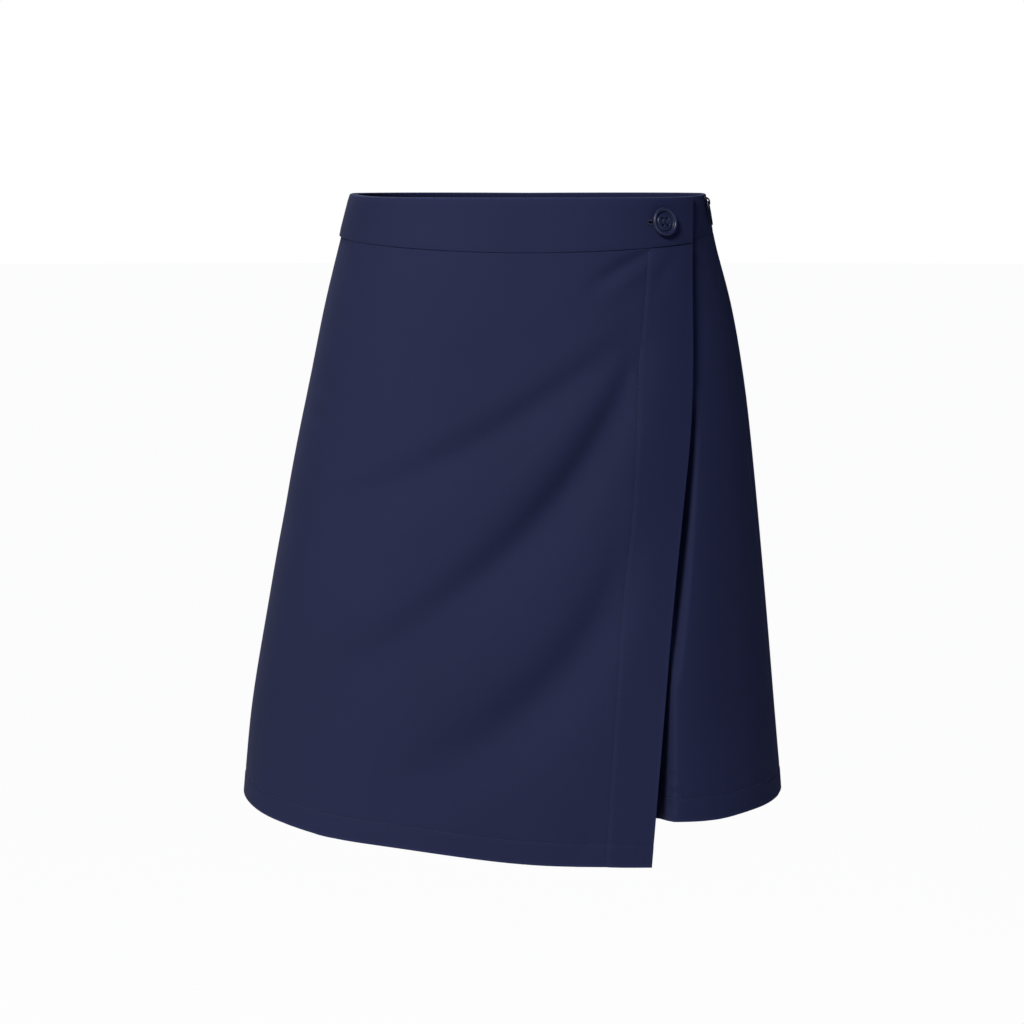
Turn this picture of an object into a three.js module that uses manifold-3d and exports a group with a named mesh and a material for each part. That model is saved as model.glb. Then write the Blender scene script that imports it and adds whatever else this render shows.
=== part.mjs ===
// Wrap-front culottes: two short flared legs under a skirt panel that crosses the front and buttons at the
// wearer's left hip. A concealed zip closes the left side. The cloth stands open and hollow, as it is worn.
//
// Millimetres, +Z up. The wearer faces -Y and the wearer's left is +X. The origin is on the wearer's axis, at
// the middle of the waistband's height. A "drop" is a distance straight down from the waistband's top edge at
// the centre front.

import * as THREE from "three";
import { mergeVertices } from "three/addons/utils/BufferGeometryUtils.js";
import Module from "manifold-3d";

// ---------------------------------------------------------------- driving dimensions

const WAIST_TOP = 14; // height of the waistband's top edge at the centre front
const SEAM = 0.3; // gap between neighbouring pieces
const CLOTH = 1.2; // wall of the panels
const TURNING = 1.1; // wall of what is turned under: hems and facing
const BAND = 2; // wall of the waistband, folded cloth with its stiffening
const WRAP_BAND = 2.4; // wall of the wrap's own waistband
const WRAP_BAND_LIFT = 2.9; // its outer face, out from the inner waistband's

const LEG_HEM_DROP = 379.5; // at the side seams
const CROTCH_DROP = 250;
const HEM_DEPTH = 14;
const LEG_GAP = 8; // half the opening between the legs at the hem
const LEG_CENTRE = 52; // where a leg's front is fullest at the hem
const LEG_SQUARENESS = 2.25;
const INSEAM_SQUARENESS = 4;

const LEFT_SEAM_ANGLE = 1.32; // the left side seam comes forward of the widest place, the right one doesn't

const ZIP_LENGTH = 160;
const ZIP_TAPE_WIDTH = 11;
const ZIP_TAPE = 1;
const ZIP_GAP = 1.2; // between the waistband's ends, where the slider's neck passes

const BUTTON = { x: 83.7, drop: 15.6, radius: 9, height: 3.4, holeRadius: 0.9, holeSpread: 1.55 };
const SHANK_RADIUS = 1.1;
const BUTTONHOLE = { inward: 13.5, outward: 4, height: 2.9 };

// The slider's body behind the zip, its neck, the crown outside, and the bridge that the pull hangs from. Width
// is across the zip, length along it and height out of the cloth.
const SLIDER = {
  drop: 3.9,
  body: { width: 5, length: 8, height: 2.2 },
  neck: { width: 0.6, length: 5 },
  crown: { width: 3.6, length: 7, height: 0.8 },
  bridge: { width: 1.6, length: 6.2, leg: 1.3, thickness: 0.8, clearance: 1.4 },
};
const PULL = { width: 5, length: 15, thickness: 0.8, windowWidth: 2.6, bar: 0.9, reach: 4.2, shoulder: 6 };

// The outer face of the shorts, by level: half-widths to the wearer's right and left, half-depths to the front
// and back.
const BODY = [
  { drop: 0, right: 111, left: 113.5, front: 80, back: 85 },
  { drop: 25, right: 117.5, left: 118.5, front: 84, back: 90 },
  { drop: 70, right: 128.5, left: 130, front: 92, back: 102 },
  { drop: 120, right: 138.5, left: 138.5, front: 99, back: 114 },
  { drop: 175, right: 149.5, left: 144.8, front: 105, back: 121 },
  { drop: 245, right: 162, left: 152, front: 110, back: 122 },
  { drop: 320, right: 173.5, left: 158.2, front: 114, back: 120 },
  { drop: 381, right: 179, left: 163.3, front: 117, back: 119 },
  { drop: 414, right: 181, left: 165, front: 118, back: 119 },
];

// The wrap panel over it: how square its section is, its outer face's lift off the shorts at the side seam, the
// middle and the free edge, and how far the facing's stitching and the free edge are from the centre.
const WRAP = [
  { drop: 0, squareness: 2.25, side: 1.5, middle: 2.9, edge: 3.1, stitchX: 78, edgeX: 103.7 },
  { drop: 45, squareness: 2.3, side: 1.5, middle: 3.3, edge: 3.6, stitchX: 74, edgeX: 102.6 },
  { drop: 100, squareness: 2.35, side: 1.5, middle: 4.9, edge: 4.3, stitchX: 69.5, edgeX: 102.6 },
  { drop: 145, squareness: 2.4, side: 1.5, middle: 6.1, edge: 4.7, stitchX: 67.5, edgeX: 100.9 },
  { drop: 195, squareness: 2.45, side: 1.5, middle: 7.1, edge: 5.2, stitchX: 64.5, edgeX: 95.8 },
  { drop: 260, squareness: 2.55, side: 1.5, middle: 8, edge: 6, stitchX: 58.5, edgeX: 89.2 },
  { drop: 320, squareness: 2.62, side: 2.2, middle: 8.7, edge: 7, stitchX: 54, edgeX: 84 },
  { drop: 414, squareness: 2.7, side: 3.4, middle: 9.5, edge: 9.5, stitchX: 47.8, edgeX: 76 },
];

// How much lower the wrap's hem hangs than the shorts' at the side, from its side seam (0) to its free edge (1).
const WRAP_HEM = [
  { across: 0, extra: -1 },
  { across: 0.16, extra: 0.7 },
  { across: 0.3, extra: 8.2 },
  { across: 0.4, extra: 15.3 },
  { across: 0.5, extra: 20 },
  { across: 0.67, extra: 29 },
  { across: 0.8, extra: 31.2 },
  { across: 1, extra: 32.2 },
];

// How far the waistband's top edge rises above its height at the centre front, by degrees from there.
const WAIST_RISE = [
  { turn: 0, rise: 0 },
  { turn: 50, rise: 0.1 },
  { turn: 70, rise: 0.9 },
  { turn: 85, rise: 1.6 },
  { turn: 110, rise: 1.6 },
  { turn: 180, rise: 1 },
];

// How much lower the shorts' hems hang than at the side seams, by degrees from the centre front.
const LEG_HEM = [
  { turn: 0, extra: 3.5 },
  { turn: 12, extra: 4.2 },
  { turn: 27, extra: 5.4 },
  { turn: 35, extra: 5.3 },
  { turn: 45, extra: 3.8 },
  { turn: 56, extra: 2.6 },
  { turn: 72, extra: 0.8 },
  { turn: 90, extra: 0 },
  { turn: 180, extra: 0 },
];

// The largest drag folds of the wrap: soft troughs along a curve, by distance from the centre and drop.
const WRAP_FOLDS = [
  { fromX: 68, fromDrop: 98, viaX: 22, viaDrop: 222, toX: -122, toDrop: 296, width: 16, depth: 4.4 },
  { fromX: 62, fromDrop: 86, viaX: -36, viaDrop: 166, toX: -143, toDrop: 200, width: 14, depth: 2.6 },
  { fromX: 59, fromDrop: 226, viaX: 24, viaDrop: 322, toX: -72, toDrop: 356, width: 19, depth: 3.8 },
];

// The left leg's front, seen beside the wrap's edge: a ridge that comes forward to it, then a hollow at the hem.
const LEG_FOLDS = [
  { fromX: 110, fromDrop: 108, viaX: 88, viaDrop: 290, toX: 99, toDrop: 460, width: 20, depth: -3 },
  { fromX: 77, fromDrop: 300, viaX: 79, viaDrop: 370, toX: 79, toDrop: 460, width: 8, depth: 10 },
];

const NAVY = { color: 0x282d45, roughness: 0.86, metalness: 0 };
const BUTTON_NAVY = { color: 0x2b3149, roughness: 0.42, metalness: 0 };
const ZIP_BLACK = { color: 0x0d0e16, roughness: 0.4, metalness: 0.6 };
const TAPE_NAVY = { color: 0x1d2236, roughness: 0.9, metalness: 0 };

// ---------------------------------------------------------------- small mathematics

const RIGHT_ANGLE = Math.PI / 2;
const clamp = (t) => Math.min(1, Math.max(0, t));
const mix = (a, b, t) => a + (b - a) * t;
const smooth = (t) => clamp(t) ** 2 * (3 - 2 * clamp(t));

function steps(from, to, count) {
  return Array.from({ length: count + 1 }, (_, i) => mix(from, to, i / count));
}

// A column of a table at a level between its rows, on a smooth curve through them.
function read(table, key, column, at) {
  const last = table.length - 1;
  let i = table.findIndex((row) => row[key] > at) - 1;
  if (i < 0) i = at <= table[0][key] ? 0 : last - 1;
  const slope = (k) => {
    const [a, b] = [table[Math.max(k - 1, 0)], table[Math.min(k + 1, last)]];
    return (b[column] - a[column]) / (b[key] - a[key]);
  };
  const [a, b] = [table[i], table[i + 1]];
  const span = b[key] - a[key];
  const t = (at - a[key]) / span;
  if (t < 0) return a[column] + slope(i) * (at - a[key]);
  if (t > 1) return b[column] + slope(i + 1) * (at - b[key]);
  const curve = new THREE.Vector4(
    2 * t ** 3 - 3 * t ** 2 + 1,
    t ** 3 - 2 * t ** 2 + t,
    3 * t ** 2 - 2 * t ** 3,
    t ** 3 - t ** 2,
  );
  return curve.dot(new THREE.Vector4(a[column], slope(i) * span, b[column], slope(i + 1) * span));
}

const body = (column, drop) => read(BODY, "drop", column, drop);
const wrap = (column, drop) => read(WRAP, "drop", column, drop);

// Across and along shares of a rounded quarter, 0 at its front and a right angle at its side.
function roundedQuarter(angle, squareness) {
  const [s, c] = [Math.sin(angle), Math.cos(angle)];
  const reach = (Math.abs(s) ** squareness + Math.abs(c) ** squareness) ** (-1 / squareness);
  return { across: s * reach, along: c * reach };
}

// How far a set of folds pushes a place on the cloth towards the wearer.
function foldDepth(folds, x, drop) {
  let total = 0;
  for (const f of folds) {
    const line = new THREE.QuadraticBezierCurve(
      new THREE.Vector2(f.fromX, f.fromDrop),
      new THREE.Vector2(f.viaX, f.viaDrop),
      new THREE.Vector2(f.toX, f.toDrop),
    );
    let nearest = { away: Infinity, t: 0 };
    for (const t of steps(0, 1, 24)) {
      const away = line.getPoint(t).distanceTo(new THREE.Vector2(x, drop));
      if (away < nearest.away) nearest = { away, t };
    }
    const side = (nearest.away / f.width) ** 2;
    total += f.depth * Math.exp(-side) * Math.sin(Math.PI * mix(0.06, 0.97, nearest.t)) ** 0.7;
  }
  return total;
}

// ---------------------------------------------------------------- the faces of the cloth

const SIDE_GAP = SEAM / 2 / BODY[0].left; // half a seam, as an angle at the side

const place = (x, y, drop) => new THREE.Vector3(x, y, WAIST_TOP - drop);

// A point on the shorts' outer face round the whole body, lifted off it. Angle 0 is the centre front, a right
// angle the wearer's left side.
function aroundBody(angle, drop, lift = 0, squareness = LEG_SQUARENESS) {
  const { across, along } = roundedQuarter(angle, squareness);
  const halfWidth = body(across > 0 ? "left" : "right", drop) + lift;
  const halfDepth = body(along > 0 ? "front" : "back", drop) + lift;
  return place(halfWidth * across, -halfDepth * along, drop);
}

// The angle at which the front of a section reaches a distance x to the wearer's left.
function angleAt(x, drop, lift, squareness) {
  const across = x / (body("left", drop) + lift);
  return Math.atan2(across, (1 - across ** squareness) ** (1 / squareness));
}

const degreesFromFront = (angle) => THREE.MathUtils.radToDeg(Math.acos(Math.cos(angle)));
const waistTop = (angle) => -read(WAIST_RISE, "turn", "rise", degreesFromFront(angle));

// The waistband's lower seam: level at the sides and deeper at the centre.
const waistSeam = (angle) => 23 + (Math.cos(angle) > 0 ? 8 : 3) * Math.abs(Math.cos(angle)) ** 1.5;
const wrapSeam = (angle) => 25 + 9 * Math.abs(Math.cos(angle)) ** 1.5;
const legHem = (angle) => LEG_HEM_DROP + read(LEG_HEM, "turn", "extra", degreesFromFront(angle));

// At the right side seam the back comes out to meet the wrap's outer face. Its angle is from the centre front.
const MEETING = 0.5;
const backLift = (angle, lift) => lift * smooth(1 - (angle - RIGHT_ANGLE) / MEETING);

// u is the angle round to the wearer's left, from the centre front, and v runs down to the lower seam.
function frontBand(u, v) {
  return aroundBody(u, mix(waistTop(u), waistSeam(u), v));
}

function backBand(u, v) {
  const fromRight = 2 * Math.PI - u;
  const lift = fromRight < Math.PI ? backLift(fromRight, WRAP_BAND_LIFT) : 0;
  return aroundBody(u, mix(waistTop(u), waistSeam(u), v), lift);
}

// u runs from the side seam to the band's free end, v down it.
function wrapBand(u, v) {
  const angleTo = (drop) => {
    const end = angleAt(wrap("edgeX", drop), drop, WRAP_BAND_LIFT, LEG_SQUARENESS);
    return mix(-RIGHT_ANGLE, end, u);
  };
  const drop = mix(waistTop(angleTo(0)), wrapSeam(angleTo(wrapSeam(0))), v);
  return aroundBody(angleTo(drop), drop, WRAP_BAND_LIFT);
}

// One quarter of the shorts. side is 1 for the wearer's left and -1 for the right; face is -1 for the front and
// 1 for the back. u runs from the side seam (0) to the centre seam (1) and on round the leg's inside to the
// inseam (2). v runs from the waist seam (0) to the hem's stitching (1) and the hem's edge (2).
const FORK_V = 0.5; // where the centre seam leaves the surface and turns under the body

function legPoint(side, face, u, v) {
  const sideAngle = (side > 0 ? LEFT_SEAM_ANGLE : RIGHT_ANGLE) + face * SIDE_GAP;
  const centreAngle = face < 0 ? 0 : Math.PI;
  const dropOn = (angle) => {
    const [top, hem] = [waistSeam(angle) + SEAM, legHem(angle)];
    return v <= 1 ? mix(top, hem - HEM_DEPTH, v) : mix(hem - HEM_DEPTH, hem, v - 1);
  };
  const [centreTop, centreHem] = [waistSeam(centreAngle) + SEAM, legHem(centreAngle)];
  const forkStart = mix(centreTop, centreHem - HEM_DEPTH, FORK_V);
  const shareAt = (drop) => clamp((drop - forkStart) / (centreHem - forkStart));
  if (u <= 1) {
    const angle = mix(sideAngle, centreAngle, u);
    const drop = dropOn(angle);
    const { across, along } = roundedQuarter(angle, LEG_SQUARENESS);
    const centre = SEAM / 2 + LEG_CENTRE * shareAt(drop);
    const lift = side < 0 && face > 0 ? backLift(angle, wrap("side", drop)) : 0;
    const x = centre + (body(side > 0 ? "left" : "right", drop) + lift - centre) * across;
    const y = -along * body(along > 0 ? "front" : "back", drop);
    return place(side * x, side > 0 && face < 0 ? y + foldDepth(LEG_FOLDS, x, drop) : y, drop);
  }
  const { across, along } = roundedQuarter(RIGHT_ANGLE * (u - 1), INSEAM_SQUARENESS);
  const share = shareAt(dropOn(centreAngle));
  const fork = mix(forkStart, CROTCH_DROP, 1 - along ** 2);
  const drop = mix(fork, mix(LEG_HEM_DROP, centreHem, along), share);
  const x = SEAM / 2 + mix(LEG_CENTRE, LEG_GAP, across) * share;
  return place(side * x, face * mix(SEAM / 2, body(face < 0 ? "front" : "back", drop), along), drop);
}

// The wrap panel's outer face. u runs from the right side seam (0) to the facing's stitching (1) and the free
// edge (2); v from the waist seam (0) to the hem's stitching (1) and the hem's edge (2).
const FACING_SHARE = 0.2; // about how much of the panel's width the facing takes
const PANEL_WIDTH = 240; // about the rest of its width, from the side seam to the facing's stitching

function wrapSection(u, across, drop) {
  const squareness = wrap("squareness", drop);
  const [side, middle, edge] = ["side", "middle", "edge"].map((column) => wrap(column, drop));
  const lift = mix(side, middle, smooth(across / 0.35)) + (edge - middle) * smooth((across - 0.6) / 0.4);
  const stitched = angleAt(wrap("stitchX", drop), drop, lift, squareness);
  const free = angleAt(wrap("edgeX", drop), drop, lift, squareness);
  const angle = u <= 1 ? mix(-RIGHT_ANGLE, stitched, u) : mix(stitched, free, u - 1);
  return { angle, lift, squareness };
}

function wrapPoint(u, v) {
  const across = u <= 1 ? u * (1 - FACING_SHARE) : mix(1 - FACING_SHARE, 1, u - 1);
  const top = wrapSeam(wrapSection(u, across, wrapSeam(0)).angle) + SEAM;
  const hem = LEG_HEM_DROP + read(WRAP_HEM, "across", "extra", across);
  const stitching = hem - HEM_DEPTH;
  const drop = v <= 1 ? mix(top, stitching, v) : mix(stitching, hem, v - 1);
  const { angle, lift, squareness } = wrapSection(u, across, drop);
  const flat = aroundBody(angle, drop, lift, squareness);
  flat.y += foldDepth(WRAP_FOLDS, flat.x, drop) * smooth((angle + RIGHT_ANGLE) / 0.6);
  return flat;
}

// ---------------------------------------------------------------- solids from faces

const NUDGE = 1e-3;

// The level direction square to a face, so that rims that share a drop stay level through the wall.
function levelNormal(pointAt, u, v) {
  const alongU = pointAt(u + NUDGE, v).sub(pointAt(u - NUDGE, v));
  const alongV = pointAt(u, v + NUDGE).sub(pointAt(u, v - NUDGE));
  return alongU.cross(alongV).setZ(0).normalize();
}

// A closed wall of cloth: its outer face lies `under` millimetres beneath pointAt's face and its inner face a
// wall thickness deeper. has(i, j) says whether the grid's cell exists. turn is -1 where u and v run so that
// their normal points at the wearer.
function wall(pointAt, us, vs, thickness, { under = 0, turn = 1, has = () => true } = {}) {
  const exists = (i, j) => i >= 0 && j >= 0 && i < us.length - 1 && j < vs.length - 1 && has(i, j);
  const positions = [];
  const index = [];
  const numbers = new Map();
  const corner = (i, j) => {
    const key = `${i} ${j}`;
    if (!numbers.has(key)) {
      const point = pointAt(us[i], vs[j]);
      const inward = levelNormal(pointAt, us[i], vs[j]).multiplyScalar(-turn);
      numbers.set(key, positions.length / 3);
      positions.push(...point.clone().addScaledVector(inward, under));
      positions.push(...point.addScaledVector(inward, under + thickness));
    }
    return numbers.get(key);
  };
  const quad = (a, b, c, d) => {
    const flat = turn > 0 ? [a, b, c, a, c, d] : [c, b, a, d, c, a];
    index.push(...flat);
  };
  for (let i = 0; i < us.length - 1; i++) {
    for (let j = 0; j < vs.length - 1; j++) {
      if (!exists(i, j)) continue;
      const ring = [corner(i, j), corner(i + 1, j), corner(i + 1, j + 1), corner(i, j + 1)];
      quad(...ring);
      quad(ring[2] + 1, ring[1] + 1, ring[0] + 1, ring[3] + 1);
      const open = [!exists(i, j - 1), !exists(i + 1, j), !exists(i, j + 1), !exists(i - 1, j)];
      open.forEach((isOpen, k) => {
        const [a, b] = [ring[k], ring[(k + 1) % 4]];
        if (isOpen) quad(b, a, a + 1, b + 1);
      });
    }
  }
  const geometry = new THREE.BufferGeometry();
  geometry.setAttribute("position", new THREE.Float32BufferAttribute(positions, 3));
  geometry.setIndex(index);
  geometry.computeVertexNormals();
  return geometry;
}

const garment = new THREE.Group();

function add(name, geometry, finish) {
  const mesh = new THREE.Mesh(geometry, new THREE.MeshStandardMaterial({ ...finish, flatShading: true }));
  mesh.name = name;
  garment.add(mesh);
  return mesh;
}

const wasm = await Module();
wasm.setup();

function solidOf(geometry) {
  const bare = geometry.clone();
  bare.deleteAttribute("normal");
  bare.deleteAttribute("uv");
  const merged = mergeVertices(bare, 1e-3);
  return new wasm.Manifold(
    new wasm.Mesh({
      numProp: 3,
      vertProperties: new Float32Array(merged.attributes.position.array),
      triVerts: new Uint32Array(merged.index.array),
    }),
  );
}

function geometryOf(solid) {
  const mesh = solid.getMesh();
  const geometry = new THREE.BufferGeometry();
  geometry.setAttribute("position", new THREE.BufferAttribute(mesh.vertProperties, 3));
  geometry.setIndex(new THREE.BufferAttribute(mesh.triVerts, 1));
  geometry.computeVertexNormals();
  return geometry;
}

const boxAt = (w, d, h, x, y, z) => new THREE.BoxGeometry(w, d, h).translate(x, y, z);

// ---------------------------------------------------------------- the shorts

const LEG_US = [...steps(0, 1, 11), ...steps(1, 2, 6).slice(1)];
const LEG_VS = [...steps(0, 1, 14), 2];
const FORK_ROW = LEG_VS.indexOf(FORK_V);
const CENTRE_COLUMN = LEG_US.indexOf(1);

for (const [sideName, side] of [["left", 1], ["right", -1]]) {
  for (const [faceName, face] of [["front", -1], ["back", 1]]) {
    const pointAt = (u, v) => legPoint(side, face, u, v);
    const turn = -side * face;
    const has = (i, j) => i < CENTRE_COLUMN || j >= FORK_ROW;
    add(`${faceName}_${sideName}`, wall(pointAt, LEG_US, LEG_VS, CLOTH, { turn, has }), NAVY);
    const turned = wall(pointAt, LEG_US, [1, 2], TURNING, { turn, under: CLOTH + SEAM });
    add(`hem_${faceName}_${sideName}`, turned, NAVY);
  }
}

// ---------------------------------------------------------------- the waistbands

const BAND_VS = [0, 0.5, 1];
const seamEdges = [-NUDGE, NUDGE].map((turn) => aroundBody(LEFT_SEAM_ANGLE + turn, 0));
const perTurn = seamEdges[0].distanceTo(seamEdges[1]) / (2 * NUDGE); // cloth length for each radian there
const zipHalf = ZIP_GAP / 2 / perTurn;
const frontAngles = steps(-RIGHT_ANGLE + SIDE_GAP, LEFT_SEAM_ANGLE - zipHalf, 24);
add("waistband_front", wall(frontBand, frontAngles, BAND_VS, BAND, { turn: -1 }), NAVY);
const backAngles = steps(LEFT_SEAM_ANGLE + zipHalf, 3 * RIGHT_ANGLE - SIDE_GAP, 28);
add("waistband_back", wall(backBand, backAngles, BAND_VS, BAND, { turn: -1 }), NAVY);

// ---------------------------------------------------------------- the wrap

const WRAP_US = [...steps(SIDE_GAP / 2, 1, 20), ...steps(1, 2, 3).slice(1)];
const WRAP_VS = [...steps(0, 1, 22), 2];
const FACING_US = WRAP_US.filter((u) => u >= 1);
const BODY_US = WRAP_US.filter((u) => u <= 1);

add("wrap_panel", wall(wrapPoint, WRAP_US, WRAP_VS, CLOTH, { turn: -1 }), NAVY);
add("wrap_facing", wall(wrapPoint, FACING_US, WRAP_VS, TURNING, { turn: -1, under: CLOTH + SEAM }), NAVY);

// The wrap's hem stops a seam short of the facing.
const hemUs = [...BODY_US.slice(0, -1), 1 - SEAM / PANEL_WIDTH];
add("wrap_hem", wall(wrapPoint, hemUs, [1, 2], TURNING, { turn: -1, under: CLOTH + SEAM }), NAVY);

// ---------------------------------------------------------------- the button and its hole

// A place on a face round the body, lifted off it, with +Z out of the cloth, +Y up it and +X to the wearer's
// left round the front.
function seatOn(angle, drop, lift) {
  const at = (a, d) => aroundBody(a, d, lift);
  const across = at(angle + NUDGE, drop).sub(at(angle - NUDGE, drop)).normalize();
  const down = at(angle, drop + 1).sub(at(angle, drop - 1)).normalize();
  const out = down.cross(across).normalize();
  const up = out.clone().cross(across);
  return new THREE.Matrix4().makeBasis(across, up, out).setPosition(at(angle, drop));
}

const buttonAngle = angleAt(BUTTON.x, BUTTON.drop, WRAP_BAND_LIFT, LEG_SQUARENESS);
const seat = seatOn(buttonAngle, BUTTON.drop, WRAP_BAND_LIFT);

const slot = boxAt(
  BUTTONHOLE.inward + BUTTONHOLE.outward,
  BUTTONHOLE.height,
  16,
  (BUTTONHOLE.outward - BUTTONHOLE.inward) / 2,
  0,
  0,
).applyMatrix4(seat);
const wrapBandUs = steps(SIDE_GAP / 2, 1, 30);
const wrapBandWall = wall(wrapBand, wrapBandUs, BAND_VS, WRAP_BAND, { turn: -1 });
add("waistband_wrap", geometryOf(solidOf(wrapBandWall).subtract(solidOf(slot))), NAVY);

// The button: a dished disc with a rounded rim and four holes, on a thread shank through the buttonhole.
function buttonGeometry() {
  const { radius, height, holeRadius, holeSpread } = BUTTON;
  const profile = [
    [0, 0],
    [radius * 0.72, 0],
    [radius * 0.95, height * 0.32],
    [radius, height * 0.62],
    [radius * 0.95, height * 0.9],
    [radius * 0.89, height],
    [radius * 0.83, height * 0.92],
    [radius * 0.76, height * 0.58],
    [0, height * 0.62],
  ].map(([r, z]) => new THREE.Vector2(r, z));
  let disc = solidOf(new THREE.LatheGeometry(profile, 28).rotateX(RIGHT_ANGLE));
  for (const [sx, sy] of [[1, 1], [1, -1], [-1, 1], [-1, -1]]) {
    const hole = new THREE.CylinderGeometry(holeRadius, holeRadius, 3 * height, 10).rotateX(RIGHT_ANGLE);
    disc = disc.subtract(solidOf(hole.translate(sx * holeSpread, sy * holeSpread, height / 2)));
  }
  return geometryOf(disc);
}

// The seat's matrix is a pure turn and shift, so it can place the mesh.
function seated(mesh, out) {
  mesh.applyMatrix4(seat.clone().multiply(new THREE.Matrix4().makeTranslation(0, 0, out)));
}

seated(add("button", buttonGeometry(), BUTTON_NAVY), SEAM);
const shankLength = WRAP_BAND_LIFT - SEAM;
const shank = new THREE.CylinderGeometry(SHANK_RADIUS, SHANK_RADIUS, shankLength, 10).rotateX(RIGHT_ANGLE);
seated(add("button_shank", shank, NAVY), -shankLength / 2);

// ---------------------------------------------------------------- the side zip

const tapeTurn = ZIP_TAPE_WIDTH / perTurn;
const frontTapeEdge = LEFT_SEAM_ANGLE - zipHalf - tapeTurn;
for (const [name, from] of [["front", frontTapeEdge], ["back", LEFT_SEAM_ANGLE + zipHalf]]) {
  const angles = steps(from, from + tapeTurn, 2);
  const drops = steps(2, ZIP_LENGTH, 8);
  const tape = wall(aroundBody, angles, drops, ZIP_TAPE, { turn: -1, under: BAND + 2 * SEAM });
  add(`zip_tape_${name}`, tape, TAPE_NAVY);
}

// The zip's own frame lies just off the closed seam, under the band's top edge: +Z is out of the cloth, +Y up
// it and +X across it, towards the back.
const zipFrame = new THREE.Group();
zipFrame.applyMatrix4(seatOn(LEFT_SEAM_ANGLE, SLIDER.drop, SEAM / 2));
garment.add(zipFrame);

// The slider's body is behind the tapes. Its neck comes out between the band's ends to a crown that carries the
// bridge.
function sliderGeometry() {
  const { body: behind, neck, crown, bridge } = SLIDER;
  const tapesBack = BAND + 2 * SEAM + ZIP_TAPE;
  const bodyTop = -tapesBack - 1.5 * SEAM;
  const crownTop = SEAM + crown.height;
  const overlap = 0.05;
  const legHeight = bridge.clearance + bridge.thickness;
  const parts = [
    boxAt(behind.width, behind.length, behind.height, 0, 0, bodyTop - behind.height / 2),
    boxAt(neck.width, neck.length, SEAM - bodyTop + 2 * overlap, 0, 0, (SEAM + bodyTop) / 2),
    boxAt(crown.width, crown.length, crown.height, 0, 0, SEAM + crown.height / 2),
    boxAt(bridge.width, bridge.length, bridge.thickness, 0, 0, crownTop + legHeight - bridge.thickness / 2),
  ];
  for (const end of [1, -1]) {
    const middle = (end * (bridge.length - bridge.leg)) / 2;
    parts.push(boxAt(bridge.width, bridge.leg, legHeight, 0, middle, crownTop + legHeight / 2 - overlap));
  }
  return geometryOf(parts.map(solidOf).reduce((all, piece) => all.add(piece)));
}

zipFrame.add(add("zip_slider", sliderGeometry(), ZIP_BLACK));

// The pull is a tapered tag. Its cross-bar turns under the bridge and its window clears the bridge's leg.
function pullGeometry() {
  const half = PULL.width / 2;
  const tip = half * 0.62;
  const tag = new THREE.Shape();
  tag.moveTo(-half * 0.8, PULL.bar / 2);
  tag.lineTo(-half, -PULL.shoulder);
  tag.absarc(0, tip - PULL.length, tip, Math.PI, 2 * Math.PI, false);
  tag.lineTo(half, -PULL.shoulder);
  tag.lineTo(half * 0.8, PULL.bar / 2);
  const hole = new THREE.Path();
  hole.moveTo(-PULL.windowWidth / 2, -PULL.bar / 2);
  hole.lineTo(-PULL.windowWidth / 2, -PULL.reach);
  hole.lineTo(PULL.windowWidth / 2, -PULL.reach);
  hole.lineTo(PULL.windowWidth / 2, -PULL.bar / 2);
  tag.holes.push(hole);
  return new THREE.ExtrudeGeometry(tag, { depth: PULL.thickness, bevelEnabled: false, curveSegments: 6 })
    .translate(0, 0, -PULL.thickness / 2);
}

const pull = add("zip_pull", pullGeometry(), ZIP_BLACK);
pull.position.z = SEAM + SLIDER.crown.height + SLIDER.bridge.clearance / 2;
zipFrame.add(pull);

export default garment;
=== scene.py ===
"""Wrap-front culottes in navy twill, standing open and hollow as they are worn.

Two short legs hang from a waistband under a skirt panel that crosses the front, buttons at the wearer's left hip
and hides all but a strip of the left leg. A concealed zip closes the left side seam.

The wearer faces -Y and the wearer's left is +X. Tables and pattern sizes are in millimetres, and every point is
turned to metres where it is placed. A "drop" is a distance straight down from the waistband's top edge at the
centre front, and a "lift" is what a layer adds to the half-widths and half-depths of the shorts' section.
"""

import math

import bmesh
import bpy
import numpy as np
from mathutils import Matrix, Vector


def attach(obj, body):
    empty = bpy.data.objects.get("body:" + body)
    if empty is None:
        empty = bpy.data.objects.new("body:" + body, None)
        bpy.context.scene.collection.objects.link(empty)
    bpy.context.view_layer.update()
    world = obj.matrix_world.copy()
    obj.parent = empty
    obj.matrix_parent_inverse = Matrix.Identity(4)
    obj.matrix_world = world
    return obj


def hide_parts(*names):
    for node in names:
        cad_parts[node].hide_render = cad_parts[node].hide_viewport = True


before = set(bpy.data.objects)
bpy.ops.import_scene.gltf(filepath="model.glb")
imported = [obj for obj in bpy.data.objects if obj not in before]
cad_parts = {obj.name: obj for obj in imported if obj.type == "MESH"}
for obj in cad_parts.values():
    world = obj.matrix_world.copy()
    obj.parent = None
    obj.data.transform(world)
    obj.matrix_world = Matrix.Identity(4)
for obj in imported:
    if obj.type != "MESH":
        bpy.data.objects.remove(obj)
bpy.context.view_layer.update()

bl_info = {
    "name": "Wrap-front Culottes",
    "version": (1, 0, 0),
    "blender": (4, 5, 0),
    "location": "View3D > Sidebar > Culottes",
    "description": "Makes wrap-front culottes piece by piece: shorts, wrap panel, waistbands, button and side zip",
    "category": "Add Mesh",
}

MM = 0.001
RIGHT_ANGLE = math.pi / 2
GARMENT = "garment"
PULL = "zip_pull"
WAIST_TOP = 14  # height of the waistband's top edge at the centre front


# ---------------------------------------------------------------- pattern tables


def table(columns, *rows):
    """A short table with named columns, as a dictionary of arrays."""
    names = columns.split()
    return {name: np.array([row[i] for row in rows], float) for i, name in enumerate(names)}


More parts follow.
